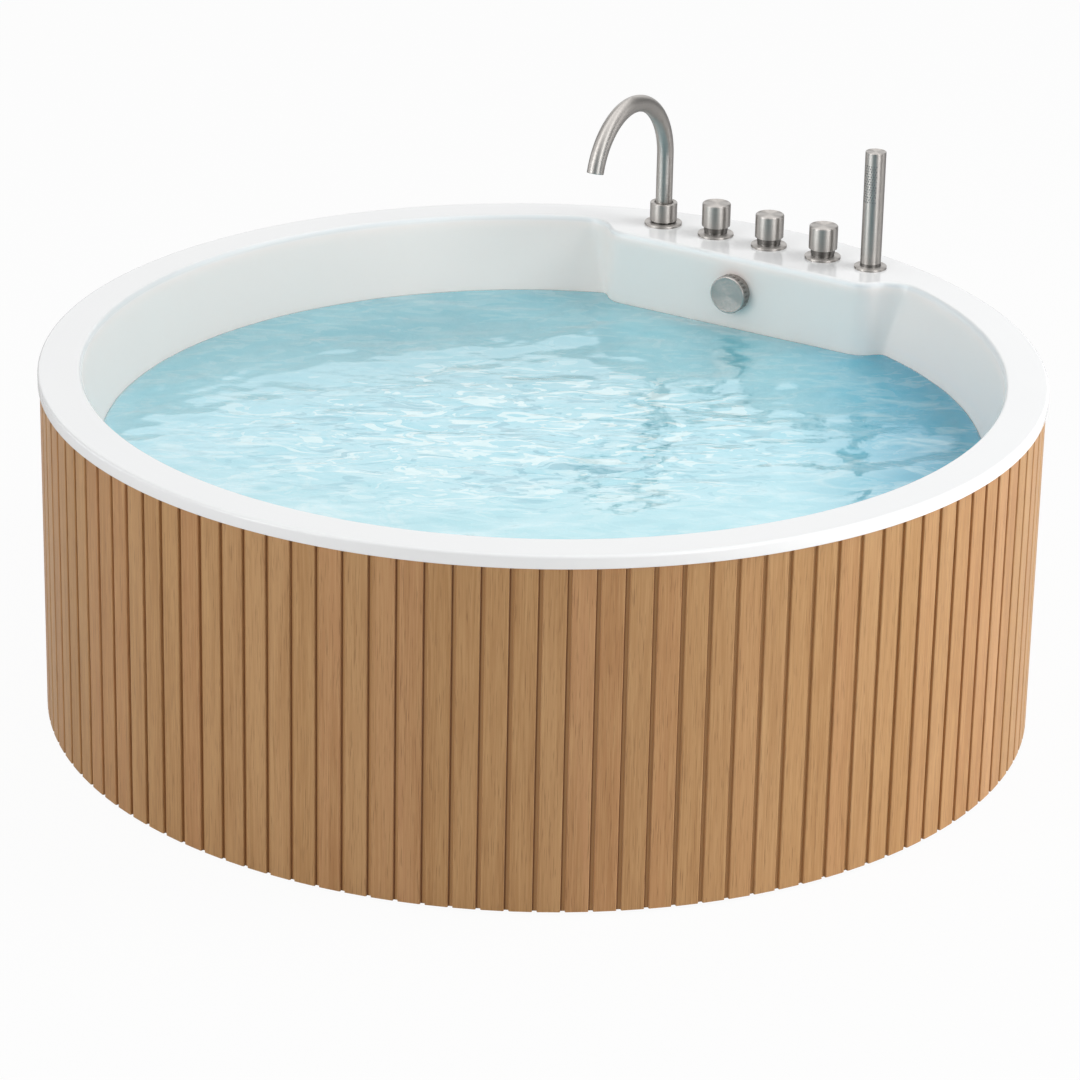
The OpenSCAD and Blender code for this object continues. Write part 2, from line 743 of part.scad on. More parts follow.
module waste_body() color("whitesmoke") translate([0, drain_y, 0]) {
    low = waste_low;
    difference() {
        union() {
            translate([0, 0, board_top - 7]) cylinder(h = 4, r = neck_out + 14);
            translate([0, 0, low]) cylinder(h = board_top - 4 - low, r = waste_cup_r - 1);
            translate([0, 0, slat_clear]) cylinder(h = low - slat_clear + over, r = tail_r);
            translate([0, 0, pipe_low]) rotate([-90, 0, 0]) cylinder(h = waste_cup_r + 18, r = pipe_r + 3);
        }
        translate([0, 0, board_z]) cylinder(h = board_t, r = neck_out);
        translate([0, 0, low + 3]) cylinder(h = board_z - low - 3 + over, r = waste_cup_r - 5);
        translate([0, 0, slat_clear - over]) cylinder(h = low, r = tail_r - 2.5);
        translate([0, waste_cup_r, pipe_low]) rotate([-90, 0, 0]) cylinder(h = 20, r = pipe_r);
        translate([0, 0, pipe_low]) rotate([-90, 0, 0])
            cylinder(h = waste_cup_r + 20, r = pipe_r - pipe_wall);
    }
}

module drain_plug() color("silver") translate([0, drain_y, 0]) {
    rotate_extrude() polygon([
        [0, plug_z], [plug_r - 3, plug_z], [plug_r, plug_z + 1.5], [plug_r - 1, plug_z + 3],
        [plug_r * 0.6, plug_z + plug_t - 0.5], [0, plug_z + plug_t]]);
    translate([0, 0, guide_z - plug_lift]) cylinder(h = plug_z - guide_z + plug_lift + over, r = plug_stem_r);
}

module plug_seal() color("black") translate([0, drain_y, 0])
    tube(drain_bore - 1, plug_stem_r, floor_z - 4, floor_z - 1);

tub_shell();
base_board();
frame_rails();
frame_crossbars();
foot_pads();
foot_stems();
foot_nuts();
bottom_hoop();
top_hoop();
backing_rear();
backing_left();
backing_front();
backing_right();
slats_rear();
slats_left();
slats_front();
slats_right();
spout_flange();
spout_collar();
spout_shank();
spout_tube();
aerator();
hot_flange();
hot_valve();
hot_spindle();
hot_knob();
diverter_flange();
diverter_valve();
diverter_spindle();
diverter_knob();
cold_flange();
cold_valve();
cold_spindle();
cold_knob();
mixing_pipes();
spout_feed_pipe();
deck_washers();
deck_nuts();
handset_flange();
handset_guide();
handset_connector();
handset_body();
spray_face();
overflow_bezel();
overflow_gasket();
overflow_body();
overflow_pipe();
overflow_spindle();
overflow_knob();
waste_flange();
waste_gasket();
waste_body();
drain_plug();
plug_seal();
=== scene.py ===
# %% [markdown]
# # A round bathtub in a timber skirt
# The bath is a white moulded tub with a flat rim. The rim widens into a deck that carries a spout, three
# knobs and a stick handset. A skirt of narrow slats hides the frame under the tub.
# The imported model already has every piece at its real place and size, so this lesson only adds what a
# construction model leaves out: soft edges, grain, brushed metal and the bath water.

# %% Load the frame
import math

import bpy
import numpy as np
from mathutils import Matrix, Vector


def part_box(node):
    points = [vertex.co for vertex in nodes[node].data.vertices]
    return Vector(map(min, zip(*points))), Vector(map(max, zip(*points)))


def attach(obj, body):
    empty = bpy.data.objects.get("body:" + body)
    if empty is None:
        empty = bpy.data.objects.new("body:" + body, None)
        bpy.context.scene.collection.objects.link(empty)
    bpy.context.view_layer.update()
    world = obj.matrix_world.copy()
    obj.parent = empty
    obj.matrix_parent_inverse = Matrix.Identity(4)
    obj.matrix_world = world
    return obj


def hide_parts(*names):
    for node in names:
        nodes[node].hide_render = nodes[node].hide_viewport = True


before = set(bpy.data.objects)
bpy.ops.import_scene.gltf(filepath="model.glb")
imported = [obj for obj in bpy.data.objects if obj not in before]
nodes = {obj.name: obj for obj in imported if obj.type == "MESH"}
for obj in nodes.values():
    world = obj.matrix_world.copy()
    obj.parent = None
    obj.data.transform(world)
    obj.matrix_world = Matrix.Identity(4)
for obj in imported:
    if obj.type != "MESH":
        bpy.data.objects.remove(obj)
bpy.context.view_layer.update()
print("pieces in the frame:", len(nodes))

# %% [markdown]
# ## Camera
# A product picture is taken from far away with a long lens, so that the round rim stays a clean ellipse.
# The camera stands in front of the bath and to its right, and looks down by about twenty degrees.
# It aims a little below the rim and leans by one degree, as the picture does.

# %% Camera
RIM_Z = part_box("tub_shell")[1].z
CAMERA_DISTANCE = 6.67
CAMERA_SIDE = math.radians(-58.702)
CAMERA_HEIGHT = math.radians(20.285)
AIM_DOWN = math.radians(2.291)
LEAN = math.radians(-1.187)
LENS_MM = 149.13
SENSOR_MM = 36.0


def turn(axis, angle):
    """Rotation matrix about the first (0), second (1) or third (2) axis."""
    c, s = math.cos(angle), math.sin(angle)
    m = np.eye(3)
    a, b = [(1, 2), (2, 0), (0, 1)][axis]
    m[a, a], m[a, b], m[b, a], m[b, b] = c, -s, s, c
    return m


def place_camera():
    """Rows right, up and forward point at the rim's middle, and are then tipped and leaned."""
    across = np.array([math.cos(CAMERA_SIDE), math.sin(CAMERA_SIDE), 0.0])
    offset = CAMERA_DISTANCE * (math.cos(CAMERA_HEIGHT) * across + [0, 0, math.sin(CAMERA_HEIGHT)])
    forward = -offset / np.linalg.norm(offset)
    right = np.cross(forward, [0, 0, 1])
    right /= np.linalg.norm(right)
    rows = turn(2, LEAN) @ turn(0, -AIM_DOWN) @ np.array([right, np.cross(right, forward), forward])
    data = bpy.data.cameras.new("camera")
    data.lens = LENS_MM
    data.sensor_width = SENSOR_MM
    data.clip_end = 100.0
    camera = bpy.data.objects.new("camera", data)
    bpy.context.scene.collection.objects.link(camera)
    pose = np.eye(4)
    pose[:3, 0], pose[:3, 1], pose[:3, 2] = rows[0], rows[1], -rows[2]
    pose[:3, 3] = offset + [0, 0, RIM_Z]
    camera.matrix_world = Matrix(pose.tolist())
    bpy.context.scene.camera = camera
    return camera


camera = place_camera()
print("camera at", [round(c, 3) for c in camera.matrix_world.translation])

# %% [markdown]
# ## Shader maths
# A material is a small program made of nodes. Writing it as sums and products reads better than a list of
# nodes and links, so one class wraps a node's output and gives it Python's operators. Every operator adds a
# Math node. All other nodes come from one method, which sets the node's options first and its inputs next.

# %% The value class and the shader class
def colour(red, green, blue):
    """Linear colour of a screen colour given as three numbers from 0 to 255."""
    parts = np.array([red, green, blue]) / 255.0
    linear = np.where(parts <= 0.04045, parts / 12.92, ((parts + 0.055) / 1.055) ** 2.4)
    return (*linear.tolist(), 1.0)


class Value:
    """A node's output that can be added, multiplied and compared."""

    def __init__(self, shader, socket):
        self.shader, self.socket = shader, socket

    def math(self, operation, *others):
        return self.shader.math(operation, self, *others)

    def __add__(self, other): return self.math("ADD", other)
    def __mul__(self, other): return self.math("MULTIPLY", other)
    def __sub__(self, other): return self.math("SUBTRACT", other)
    def __rsub__(self, other): return self.shader.math("SUBTRACT", other, self)
    def __truediv__(self, other): return self.math("DIVIDE", other)
    def abs(self): return self.math("ABSOLUTE")
    def floor(self): return self.math("FLOOR")
    def root(self): return self.math("SQRT")

    def ramp(self, low, high, out_low=0.0, out_high=1.0):
        """Smooth step: out_low below low, out_high above high."""
        return self.shader.node("ShaderNodeMapRange", {"Value": self, "From Min": low, "From Max": high,
                                                       "To Min": out_low, "To Max": out_high},
                                interpolation_type="SMOOTHSTEP")


class Shader:
    """A node tree of a material or the world. node() is the only place that adds a node."""

    def __init__(self, owner):
        owner.use_nodes = True
        self.tree = owner.node_tree
        self.tree.nodes.clear()

    def node(self, kind, inputs=None, out=0, stops=None, **settings):
        made = self.tree.nodes.new(kind)
        for name, setting in settings.items():
            setattr(made, name, setting)
        if stops:
            ramp = made.color_ramp
            while len(ramp.elements) < len(stops):
                ramp.elements.new(0.5)
            for element, (place, tone) in zip(ramp.elements, stops):
                element.position, element.color = place, tone
        for name, given in (inputs or {}).items():
            if isinstance(given, Value):
                self.tree.links.new(given.socket, made.inputs[name])
            else:
                made.inputs[name].default_value = given
        return Value(self, made.outputs[out]) if made.outputs else None

    def math(self, operation, *values):
        return self.node("ShaderNodeMath", dict(enumerate(values)), operation=operation)

    def split(self, vector):
        """The three parts of a vector."""
        return [self.node("ShaderNodeSeparateXYZ", {0: vector}, out=i) for i in range(3)]

    def object_place(self):
        """Object coordinates as one vector and as three values, in metres."""
        place = self.node("ShaderNodeTexCoord", out="Object")
        return (place, *self.split(place))

    def vector(self, x, y, z):
        return self.node("ShaderNodeCombineXYZ", {0: x, 1: y, 2: z})

    def noise(self, place, scale, detail=2.0, roughness=0.5, distortion=0.0):
        return self.node("ShaderNodeTexNoise", {"Vector": place, "Scale": scale, "Detail": detail,
                                                "Roughness": roughness, "Distortion": distortion})

    def mix(self, factor, first, second):
        """Colour between two colours. A factor of 0 gives the first."""
        return self.node("ShaderNodeMix", {0: factor, 6: first, 7: second}, out=2, data_type="RGBA")

    def bump(self, height, distance, strength=1.0):
        return self.node("ShaderNodeBump", {"Height": height, "Distance": distance, "Strength": strength})

    def surface(self, **sockets):
        """The finish itself. A number is set on the shader's own socket, and only a pattern is linked."""
        names = {name.replace("_", " "): given for name, given in sockets.items()}
        made = self.node("ShaderNodeBsdfPrincipled", names)
        self.node("ShaderNodeOutputMaterial", {"Surface": made})
        return made


def new_material(name):
    material = bpy.data.materials.new(name)
    return material, Shader(material)


# %% [markdown]
# ## Acrylic
# The tub is vacuum-formed white acrylic: very smooth, glossy and almost neutral. Forming thins the sheet where
# it's drawn down into the basin, and the stretched surface is duller there. There the white also gets a painted
# warm tint, which cancels the cyan light that the water bounces onto the walls. The sheet isn't perfectly flat,
# so a low, wide bump and a faint change of roughness break up the gloss.

# %% Acrylic
# The sheet is drawn down within the first radius and left as it was beyond the second
DRAWN_R, FLAT_R = 0.693, 0.714


def make_acrylic():
    material, s = new_material("acrylic")
    place, x, y, z = s.object_place()
    cloud = s.noise(place, 5.0, 2.0)
    speck = s.noise(place, 900.0, 1.0)
    below_rim = z.ramp(RIM_Z - 0.012, RIM_Z - 0.002, 1.0, 0.0)
    inside = (x * x + y * y).ramp(DRAWN_R ** 2, FLAT_R ** 2, 1.0, 0.0)
    drawn = below_rim * inside
    flat = s.mix(cloud, colour(246, 247, 248), colour(250, 251, 251))
    # Painted warm tint inside the basin, which cancels the cyan bounce light from the water
    warmed_against_bounce = s.mix(cloud, colour(254, 243, 238), colour(255, 247, 242))
    s.surface(Base_Color=s.mix(drawn, flat, warmed_against_bounce),
              Roughness=cloud * 0.05 + speck * 0.02 + 0.1 + drawn * 0.25,
              Specular_IOR_Level=0.5,
              Normal=s.bump(cloud, 0.002, 0.25))
    return material


acrylic = make_acrylic()
print("made", acrylic.name)

# %% [markdown]
# ## Oak slats
# Each slat is a strip of oak veneer with straight grain. Neighbours differ a little in tone, so the colour
# depends on the slat's number, which comes from the angle round the skirt. The grain is a noise that is
# squeezed across the slat and stretched along it. Working in angle and height keeps it straight all round.
# The board behind the slats is darker beside each slat's edge: painted shade, where the slat shades the gap.

# %% Oak
SLAT_STEP = math.radians(3.0)
SLAT_OUT = 0.747


def make_oak():
    """A slat's own tone, then a wide figure, fine pale fibres, and short dark pores."""
    material, s = new_material("oak")
    _, x, y, z = s.object_place()
    angle = s.math("ARCTAN2", y, x)
    number = (angle / SLAT_STEP + 0.5).floor()
    across = angle * SLAT_OUT
    depth = (x * x + y * y).root()
    chance = s.node("ShaderNodeTexWhiteNoise", {"W": number + 61.0}, noise_dimensions="1D")
    shift = s.node("ShaderNodeTexWhiteNoise", {"W": number + 311.0}, noise_dimensions="1D")
    u = across + shift * 7.0
    figure = s.noise(s.vector(u * 45.0, depth * 45.0, z * 2.2 + shift * 9.0), 1.0, 3.0, 0.55, 0.6)
    fibre = s.noise(s.vector(u * 420.0, depth * 420.0, z * 9.0), 1.0, 3.0, 0.6)
    pores = s.noise(s.vector(u * 900.0, depth * 900.0, z * 26.0), 1.0, 1.0)
    pore = pores.ramp(0.60, 0.72)
    ground = s.mix(chance, colour(180, 137, 90), colour(192, 150, 105))
    rosy = s.mix(shift.ramp(0.45, 1.0, 0.0, 0.42), ground, colour(184, 129, 90))
    lined = s.mix(figure.ramp(0.35, 0.7, 0.0, 0.55), rosy, colour(160, 115, 70))
    fine = s.mix(fibre.ramp(0.35, 0.75, 0.0, 0.5), lined, colour(204, 164, 115))
    final = s.mix(pore * 0.5, fine, colour(123, 85, 52))
    height = fibre * 0.6 + figure * 0.4 - pore * 0.5
    s.surface(Base_Color=final,
              Roughness=fibre * 0.15 + 0.46,
              Specular_IOR_Level=0.35, Sheen_Weight=0.22, Sheen_Roughness=0.35,
              Normal=s.bump(height, 0.0006, 0.35))
    return material


def make_backing():
    material, s = new_material("backing_board")
    _, x, y, z = s.object_place()
    angle = s.math("ARCTAN2", y, x)
    fibre = s.noise(s.vector(angle * 260.0, 0.0, z * 9.0), 1.0, 3.0, 0.6)
    step = angle / SLAT_STEP
    beside = (step - step.floor() - 0.5) * (SLAT_STEP * SLAT_OUT)
    wood = s.mix(fibre, colour(174, 131, 84), colour(188, 145, 96))
    # Painted shade: the board darkens in the gap beside one edge of each slat
    s.surface(Base_Color=s.mix(beside.ramp(-0.0024, -0.0002, 1.0, 0.0), wood, colour(122, 78, 38)),
              Roughness=fibre * 0.1 + 0.6,
              Normal=s.bump(fibre, 0.0004, 0.4))
    return material


oak, backing_board = make_oak(), make_backing()
print("made", oak.name, backing_board.name)

# %% [markdown]
# ## Brushed steel
# The taps are turned and then brushed, so fine lines run round each piece. Light that falls on such lines
# spreads across them, which draws bright bands up a knob's side. The finish spreads the light along the piece's
# axis for that. A bump that changes only with height and with the distance from the axis adds the lines
# themselves, and a few wider streaks show in the colour. The narrow neck under each knob is darkened with
# painted shade, where the knob's overhang shades it and hardly any light gets in.

# %% Steel
STEEL = colour(170, 166, 162)
BRUSH_LINES = 2600.0
# Share of the steel's tone that is left in the painted shade at each neck
NECK_SHADE_SHARE = 0.4
# Heights between which the painted shade starts, and distances from the axis between which it ends
NECK_FROM, NECK_WITHIN = (0.0038, 0.0044), (0.0201, 0.0204)


def darker(tone, share):
    return (*(share * c for c in tone[:3]), 1.0)


def streak_of(s, radius, height, angle):
    """Wider streaks between the finest lines."""
    return s.noise(s.vector(radius * 300.0, height * 300.0, angle * 0.6), 1.0, 2.0, 0.6).ramp(0.3, 0.7)


def make_steel(name, centre, along, tone=STEEL, bump=0.06, spread=0.92, rough=0.38, neck=0.0):
    """Lines run round the axis through centre. along is 1 for an axis on Y, 2 for one on Z, and None for a
    bent tube, whose points carry their way along the tube. Painted shade darkens the metal up to the neck's height."""
    material, s = new_material(name)
    place = s.object_place()[0]
    local = s.node("ShaderNodeVectorMath", {0: place, 1: tuple(centre)}, operation="SUBTRACT")
    parts = s.split(local)
    if along is None:
        height, radius, angle = s.node("ShaderNodeAttribute", out="Fac", attribute_name="along"), 0.0, 0.0
    else:
        height = parts.pop(along)
        radius = (parts[0] * parts[0] + parts[1] * parts[1]).root()
        angle = s.math("ARCTAN2", parts[1], parts[0])
    metal = s.mix(streak_of(s, radius, height, angle), tone, darker(tone, 0.94))
    # Painted shade: the narrow neck under a knob or collar darkens, where the overhang shades it
    if neck:
        between = height.ramp(*NECK_FROM) * height.ramp(neck - 0.0003, neck, 1.0, 0.0)
        metal = s.mix(between * radius.ramp(*NECK_WITHIN, 1.0, 0.0), metal, darker(tone, NECK_SHADE_SHARE))
    brush = s.noise(s.vector(radius * BRUSH_LINES, height * BRUSH_LINES, angle * 0.8), 1.0, 2.0, 0.7)
    s.surface(Base_Color=metal, Metallic=1.0, Roughness=brush * 0.08 + rough,
              Anisotropic=spread, Anisotropic_Rotation=0.25,
              Normal=s.bump(brush, 0.0002 * bump))
    return material


def make_plain_metal(name, tone, roughness):
    """Cast or plated fittings that hide under the deck: a fine grain and a few darker clouds."""
    material, s = new_material(name)
    place = s.object_place()[0]
    cloud, grain = s.noise(place, 30.0, 3.0), s.noise(place, 1400.0, 2.0)
    s.surface(Base_Color=s.mix(cloud, darker(tone, 0.72), tone), Metallic=1.0, Roughness=cloud * 0.15 + roughness,
              Normal=s.bump(grain, 0.0002, 0.3))
    return material


def make_plain(name, first, second, roughness, scale=40.0):
    """Rubber, plastics and board: two close tones and a fine bump."""
    material, s = new_material(name)
    place = s.object_place()[0]
    cloud, grain = s.noise(place, scale, 3.0), s.noise(place, scale * 30.0, 2.0)
    s.surface(Base_Color=s.mix(cloud, first, second), Roughness=cloud * 0.1 + roughness,
              Normal=s.bump(grain, 0.0004, 0.3))
    return material


brass = make_plain_metal("brass", colour(206, 170, 104), 0.3)
zinc = make_plain_metal("zinc_steel", colour(176, 180, 182), 0.4)
rubber = make_plain("rubber", colour(30, 30, 31), colour(44, 44, 46), 0.7)
grey_plastic = make_plain("grey_plastic", colour(92, 93, 95), colour(112, 113, 115), 0.5)
white_plastic = make_plain("white_plastic", colour(214, 215, 214), colour(226, 227, 226), 0.45)
plywood = make_plain("plywood", colour(186, 150, 106), colour(205, 172, 128), 0.6, 12.0)

# %% [markdown]
# ## Finish the frame's own pieces
# A piece whose shape is already right keeps its shape and only gets a better finish. The frame's record says
# what each piece is made of, so most of them can be dressed in one loop.

# %% Dress the nodes
def dress(node, material):
    slots = nodes[node].data.materials
    slots.clear()
    slots.append(material)


def axis_of(node):
    """Middle of a node's box."""
    low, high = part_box(node)
    return (low + high) / 2


FINISH = {
    plywood: ["base_board", "bottom_hoop", "top_hoop"],
    zinc: ["frame_rails", "frame_crossbars", "foot_stems", "foot_nuts"],
    brass: ["spout_shank", "hot_valve", "diverter_valve", "cold_valve", "hot_spindle", "diverter_spindle",
            "cold_spindle", "mixing_pipes", "spout_feed_pipe", "deck_nuts", "handset_guide",
            "handset_connector", "overflow_spindle"],
    rubber: ["foot_pads", "deck_washers", "overflow_gasket", "waste_gasket", "plug_seal"],
    white_plastic: ["overflow_body", "overflow_pipe", "waste_body"],
    grey_plastic: ["aerator"],
}
for material, names in FINISH.items():
    for node in names:
        dress(node, material)

# How far the painted shade on each neck reaches above the deck, in metres
NECK_SHADE_TOPS = {"spout": 0.0071, "hot": 0.0159, "diverter": 0.0159, "cold": 0.0159, "handset": 0.0083}
steels = {place: make_steel("steel_" + place, (*axis_of(place + "_flange")[:2], RIM_Z), 2, neck=neck)
          for place, neck in NECK_SHADE_TOPS.items()}
steels["tube"] = make_steel("steel_tube", axis_of("spout_collar"), None, bump=0.4, spread=0.88, rough=0.34)
overflow_steel = make_steel("steel_overflow", axis_of("overflow_knob"), 1, tone=darker(STEEL, 0.86), bump=1.4,
                            spread=0.0, rough=0.2)
drain_steel = make_steel("steel_drain", axis_of("waste_flange"), 2)
for node in ("waste_flange", "drain_plug"):
    dress(node, drain_steel)
print("dressed", len(nodes), "nodes")

# %% [markdown]
# ## Meshes from arrays
# A piece is a grid of points that numpy works out at once. Neighbouring points make the faces.

# %% Mesh helpers
def grid_faces(rows, columns, closed=False):
    """Quads of a grid whose last column meets its first. closed joins the last row to the first too."""
    index = np.arange(rows * columns).reshape(rows, columns)
    index = np.hstack([index, index[:, :1]])
    if closed:
        index = np.vstack([index, index[:1]])
    quads = np.stack([index[:-1, :-1], index[:-1, 1:], index[1:, 1:], index[1:, :-1]], axis=-1)
    return quads.reshape(-1, 4).tolist()


def pole_faces(rows, columns):
    """Triangles that close a grid at both ends. The two poles follow the grid's own points."""
    here = np.arange(columns)
    following = np.roll(here, -1)
    first, last = rows * columns, rows * columns + 1
    top = (rows - 1) * columns
    bottom = [(b, a, first) for a, b in zip(here.tolist(), following.tolist())]
    return bottom + [(top + a, top + b, last) for a, b in zip(here.tolist(), following.tolist())]


def rounded(corners, steps=5):
    """Outline of (radius, height) points whose corners are arcs. A corner is (radius, height, arc's size)."""
    outline = []
    for i, (radius, height, size) in enumerate(corners):
        here = np.array([radius, height])
        if not size:
            outline.append(here[None])
            continue
        before = np.array(corners[i - 1][:2]) - here
        after = np.array(corners[(i + 1) % len(corners)][:2]) - here
        before, after = before / np.linalg.norm(before), after / np.linalg.norm(after)
        opening = math.acos(np.clip(before @ after, -1.0, 1.0)) / 2
        middle = (before + after) / np.linalg.norm(before + after)
        centre = here + middle * size / math.sin(opening)
        start = here + before * size / math.tan(opening) - centre
        end = here + after * size / math.tan(opening) - centre
        from_angle = math.atan2(start[1], start[0])
        swing = (math.atan2(end[1], end[0]) - from_angle + math.pi) % (2 * math.pi) - math.pi
        a = from_angle + swing * np.linspace(0.0, 1.0, steps)
        outline.append(centre + size * np.stack([np.cos(a), np.sin(a)], axis=1))
    return np.concatenate(outline)


def turned(outline, steps=72):
    """Outline turned about an axis: rows of (radius cos a, radius sin a, height)."""
    a = np.arange(steps) * 2 * np.pi / steps
    radius, height = outline[:, :1], np.repeat(outline[:, 1:], steps, axis=1)
    return np.stack([radius * np.cos(a), radius * np.sin(a), height], axis=2)


def in_metres(corners):
    return [(radius / 1000, height / 1000, size / 1000) for radius, height, size in corners]


def turned_piece(name, corners, place, material, body, slot, steps=72):
    """A turned solid. It is a ring if its outline keeps off the axis, and has two poles otherwise."""
    outline = rounded(in_metres(corners))
    ring_shaped = corners[0][0] > 0
    rows = turned(outline if ring_shaped else outline[1:-1], steps)
    points = rows.reshape(-1, 3)
    faces = grid_faces(len(rows), steps, ring_shaped)
    if not ring_shaped:
        poles = [[0.0, 0.0, outline[0, 1]], [0.0, 0.0, outline[-1, 1]]]
        points = np.concatenate([points, poles])
        faces += pole_faces(len(rows), steps)
    return new_piece(name, place(points), faces, material, body, slot)


def new_piece(name, points, faces, material, body, slot=None, smooth=True):
    """A mesh in the frame's metres that rides on a body."""
    mesh = bpy.data.meshes.new(name)
    mesh.from_pydata(np.asarray(points, float).reshape(-1, 3).tolist(), [], faces)
    mesh.polygons.foreach_set("use_smooth", np.full(len(mesh.polygons), smooth))
    mesh.materials.append(material)
    mesh.update()
    piece = bpy.data.objects.new(name, mesh)
    bpy.context.scene.collection.objects.link(piece)
    if body:
        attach(piece, body)
    return piece


# %% [markdown]
# ## The skirt
# A slat's sharp edges would show no light, so each slat gets small arcs along its outer edges. Behind the
# slats runs a board of thin flats. It reaches a little way up between the slats, as the glued-on slats sit in
# shallow grooves, and it ends level with them at the foot.

# %% Slats and their boards
SLATS = round(2 * math.pi / SLAT_STEP)
SLAT_IN, GAP, EDGE_R = 0.737, 0.006, 0.0016
BOARD_OUT, BOARD_IN = 0.7425, 0.731
PANEL_START = math.radians(45)


def upright(outlines, low, high):
    """Prisms that stand on closed plan outlines, all with the same number of points."""
    count, corners = outlines.shape[:2]
    plan = np.concatenate([outlines, outlines], axis=1)
    height = np.repeat([low, high], corners)
    points = np.concatenate([plan, np.broadcast_to(height[None, :, None], (count, 2 * corners, 1))], axis=2)
    here = np.arange(corners)
    after = np.roll(here, -1)
    sides = np.stack([here, after, after + corners, here + corners], axis=1)
    faces = []
    for start in range(0, count * 2 * corners, 2 * corners):
        faces += (sides + start).tolist()
        faces += [(start + here[::-1]).tolist(), (start + corners + here).tolist()]
    return points.reshape(-1, 3), faces


def around_axis(outline, turns):
    """Copies of a plan outline of (distance, sideways) points, turned to each of the angles."""
    c, s = np.cos(turns)[:, None], np.sin(turns)[:, None]
    out, side = outline[:, 0], outline[:, 1]
    return np.stack([out * c - side * s, out * s + side * c], axis=2)


half_w = SLAT_IN * math.tan(SLAT_STEP / 2) - GAP / 2
slat_outline = rounded([(SLAT_IN, -half_w, 0), (SLAT_OUT, -half_w, EDGE_R), (SLAT_OUT, half_w, EDGE_R),
                        (SLAT_IN, half_w, 0)], 4)


def board_outline(turns):
    """Plan of one board: a flat behind each slat, out along the outer face and back along the inner one."""
    half = SLAT_STEP / 2
    ends = np.append(turns - half, turns[-1] + half)
    way = np.stack([np.cos(ends), np.sin(ends)], axis=1) / math.cos(half)
    return np.concatenate([BOARD_OUT * way, BOARD_IN * way[::-1]])[None]


for quarter, side in enumerate(("rear", "left", "front", "right")):
    turns = PANEL_START + quarter * math.pi / 2 + np.arange(SLATS // 4) * SLAT_STEP
    low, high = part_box("slats_" + side)[0].z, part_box("slats_" + side)[1].z
    strips = new_piece("slat_strips_" + side, *upright(around_axis(slat_outline, turns), low, high), oak, "bath",
                       "oak", smooth=False)
    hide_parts("slats_" + side)
    board = new_piece("slat_board_" + side, *upright(board_outline(turns), low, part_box("backing_" + side)[1].z),
                      backing_board, "bath", "backing_board", smooth=False)
    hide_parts("backing_" + side)
print("slats:", SLATS, "each", round(2000 * half_w, 1), "mm wide")

# %% [markdown]
# ## The tub
# The real tub is one sheet of acrylic that is drawn over a mould, so every edge of it is round and one part
# flows into the next. It could be cut from solids, but then each edge would need its own rounding. Here it
# is one surface instead. Seen from above, the basin's outline is a circle that gives way to the tap deck's
# straight wall. The rows of the grid are that outline at each height, from the drain up to the rim, over
# the lip and back underneath.

# %% The tub's sizes
RIM_R = 0.750
RIM_ROUND = 0.0045
LIP_Z = RIM_Z - 0.020
LIP_R = 0.744
SKIN = 0.006
MOUTH_R = 0.6865
MOUTH_ROUND = 0.005
DRAFT = math.radians(11.8)
BASIN_Z = 0.100
FILLET_R = 0.080
DECK_Y = 0.5802
DECK_HALF = 0.208
CORNER_R = 0.045
BLEND_R = 0.055
SOFTEN, SOFTEN_LOW = 0.006, 0.03
COLUMNS, FILLET_ROWS, WALL_ROWS, EDGE_ROWS = 420, 14, 22, 10
ACROSS_RIM = (0.02, 0.06, 0.3, 0.6, 0.9, 0.97, 1.0)


def wall_radius(z):
    """The side wall is a cone: its radius grows with height."""
    return MOUTH_R - (RIM_Z - z) * math.tan(DRAFT)


FILLET_Z = BASIN_Z + FILLET_R
FILLET_X = wall_radius(FILLET_Z) - FILLET_R / math.cos(DRAFT)


def deck_outline():
    """Right half of the deck wall's plan: straight, round the corner, and back into the circle."""
    corner = np.array([DECK_HALF, DECK_Y + CORNER_R])
    reach, apart, d = MOUTH_R - BLEND_R, CORNER_R + BLEND_R, np.linalg.norm(corner)
    swing = math.atan2(corner[1], corner[0]) - math.acos((d * d + reach * reach - apart * apart) / (2 * d * reach))
    blend = reach * np.array([math.cos(swing), math.sin(swing)])
    lean = math.atan2(blend[1] - corner[1], blend[0] - corner[0])
    flat = np.stack([np.linspace(0.0, DECK_HALF, 40), np.full(40, DECK_Y)], axis=1)
    a = np.linspace(-math.pi / 2, lean, 40)
    b = np.linspace(lean + math.pi, swing, 60)
    bend = corner + CORNER_R * np.stack([np.cos(a), np.sin(a)], axis=1)
    back = blend + BLEND_R * np.stack([np.cos(b), np.sin(b)], axis=1)
    walk = np.linspace(0.0, 0.12, 24)[1:]
    a, reach = swing - walk / MOUTH_R, MOUTH_R + walk * walk / (2 * BLEND_R)
    beyond = np.stack([reach * np.cos(a), reach * np.sin(a)], axis=1)
    return np.concatenate([flat, bend[1:], back[1:], beyond])


half = deck_outline()
half_angle = np.pi / 2 - np.arctan2(half[:, 1], half[:, 0])
half_reach = np.linalg.norm(half, axis=1)


def deck_reach(angle):
    """Distance to the deck's wall in a direction from the tub's middle. It's far away outside the deck."""
    off = np.abs((angle - np.pi / 2 + np.pi) % (2 * np.pi) - np.pi)
    return np.interp(off, half_angle, half_reach)


def soft_min(a, b, width):
    """The smaller of two lengths, with a smooth change where they are within the width of each other."""
    near = np.clip(width - np.abs(a - b), 0.0, None) / width
    return np.minimum(a, b) - near * near * width / 4


def basin_outline(angle, radius, soften=SOFTEN):
    """Plan of the basin where its side wall has that radius."""
    return soft_min(radius, deck_reach(angle), soften)


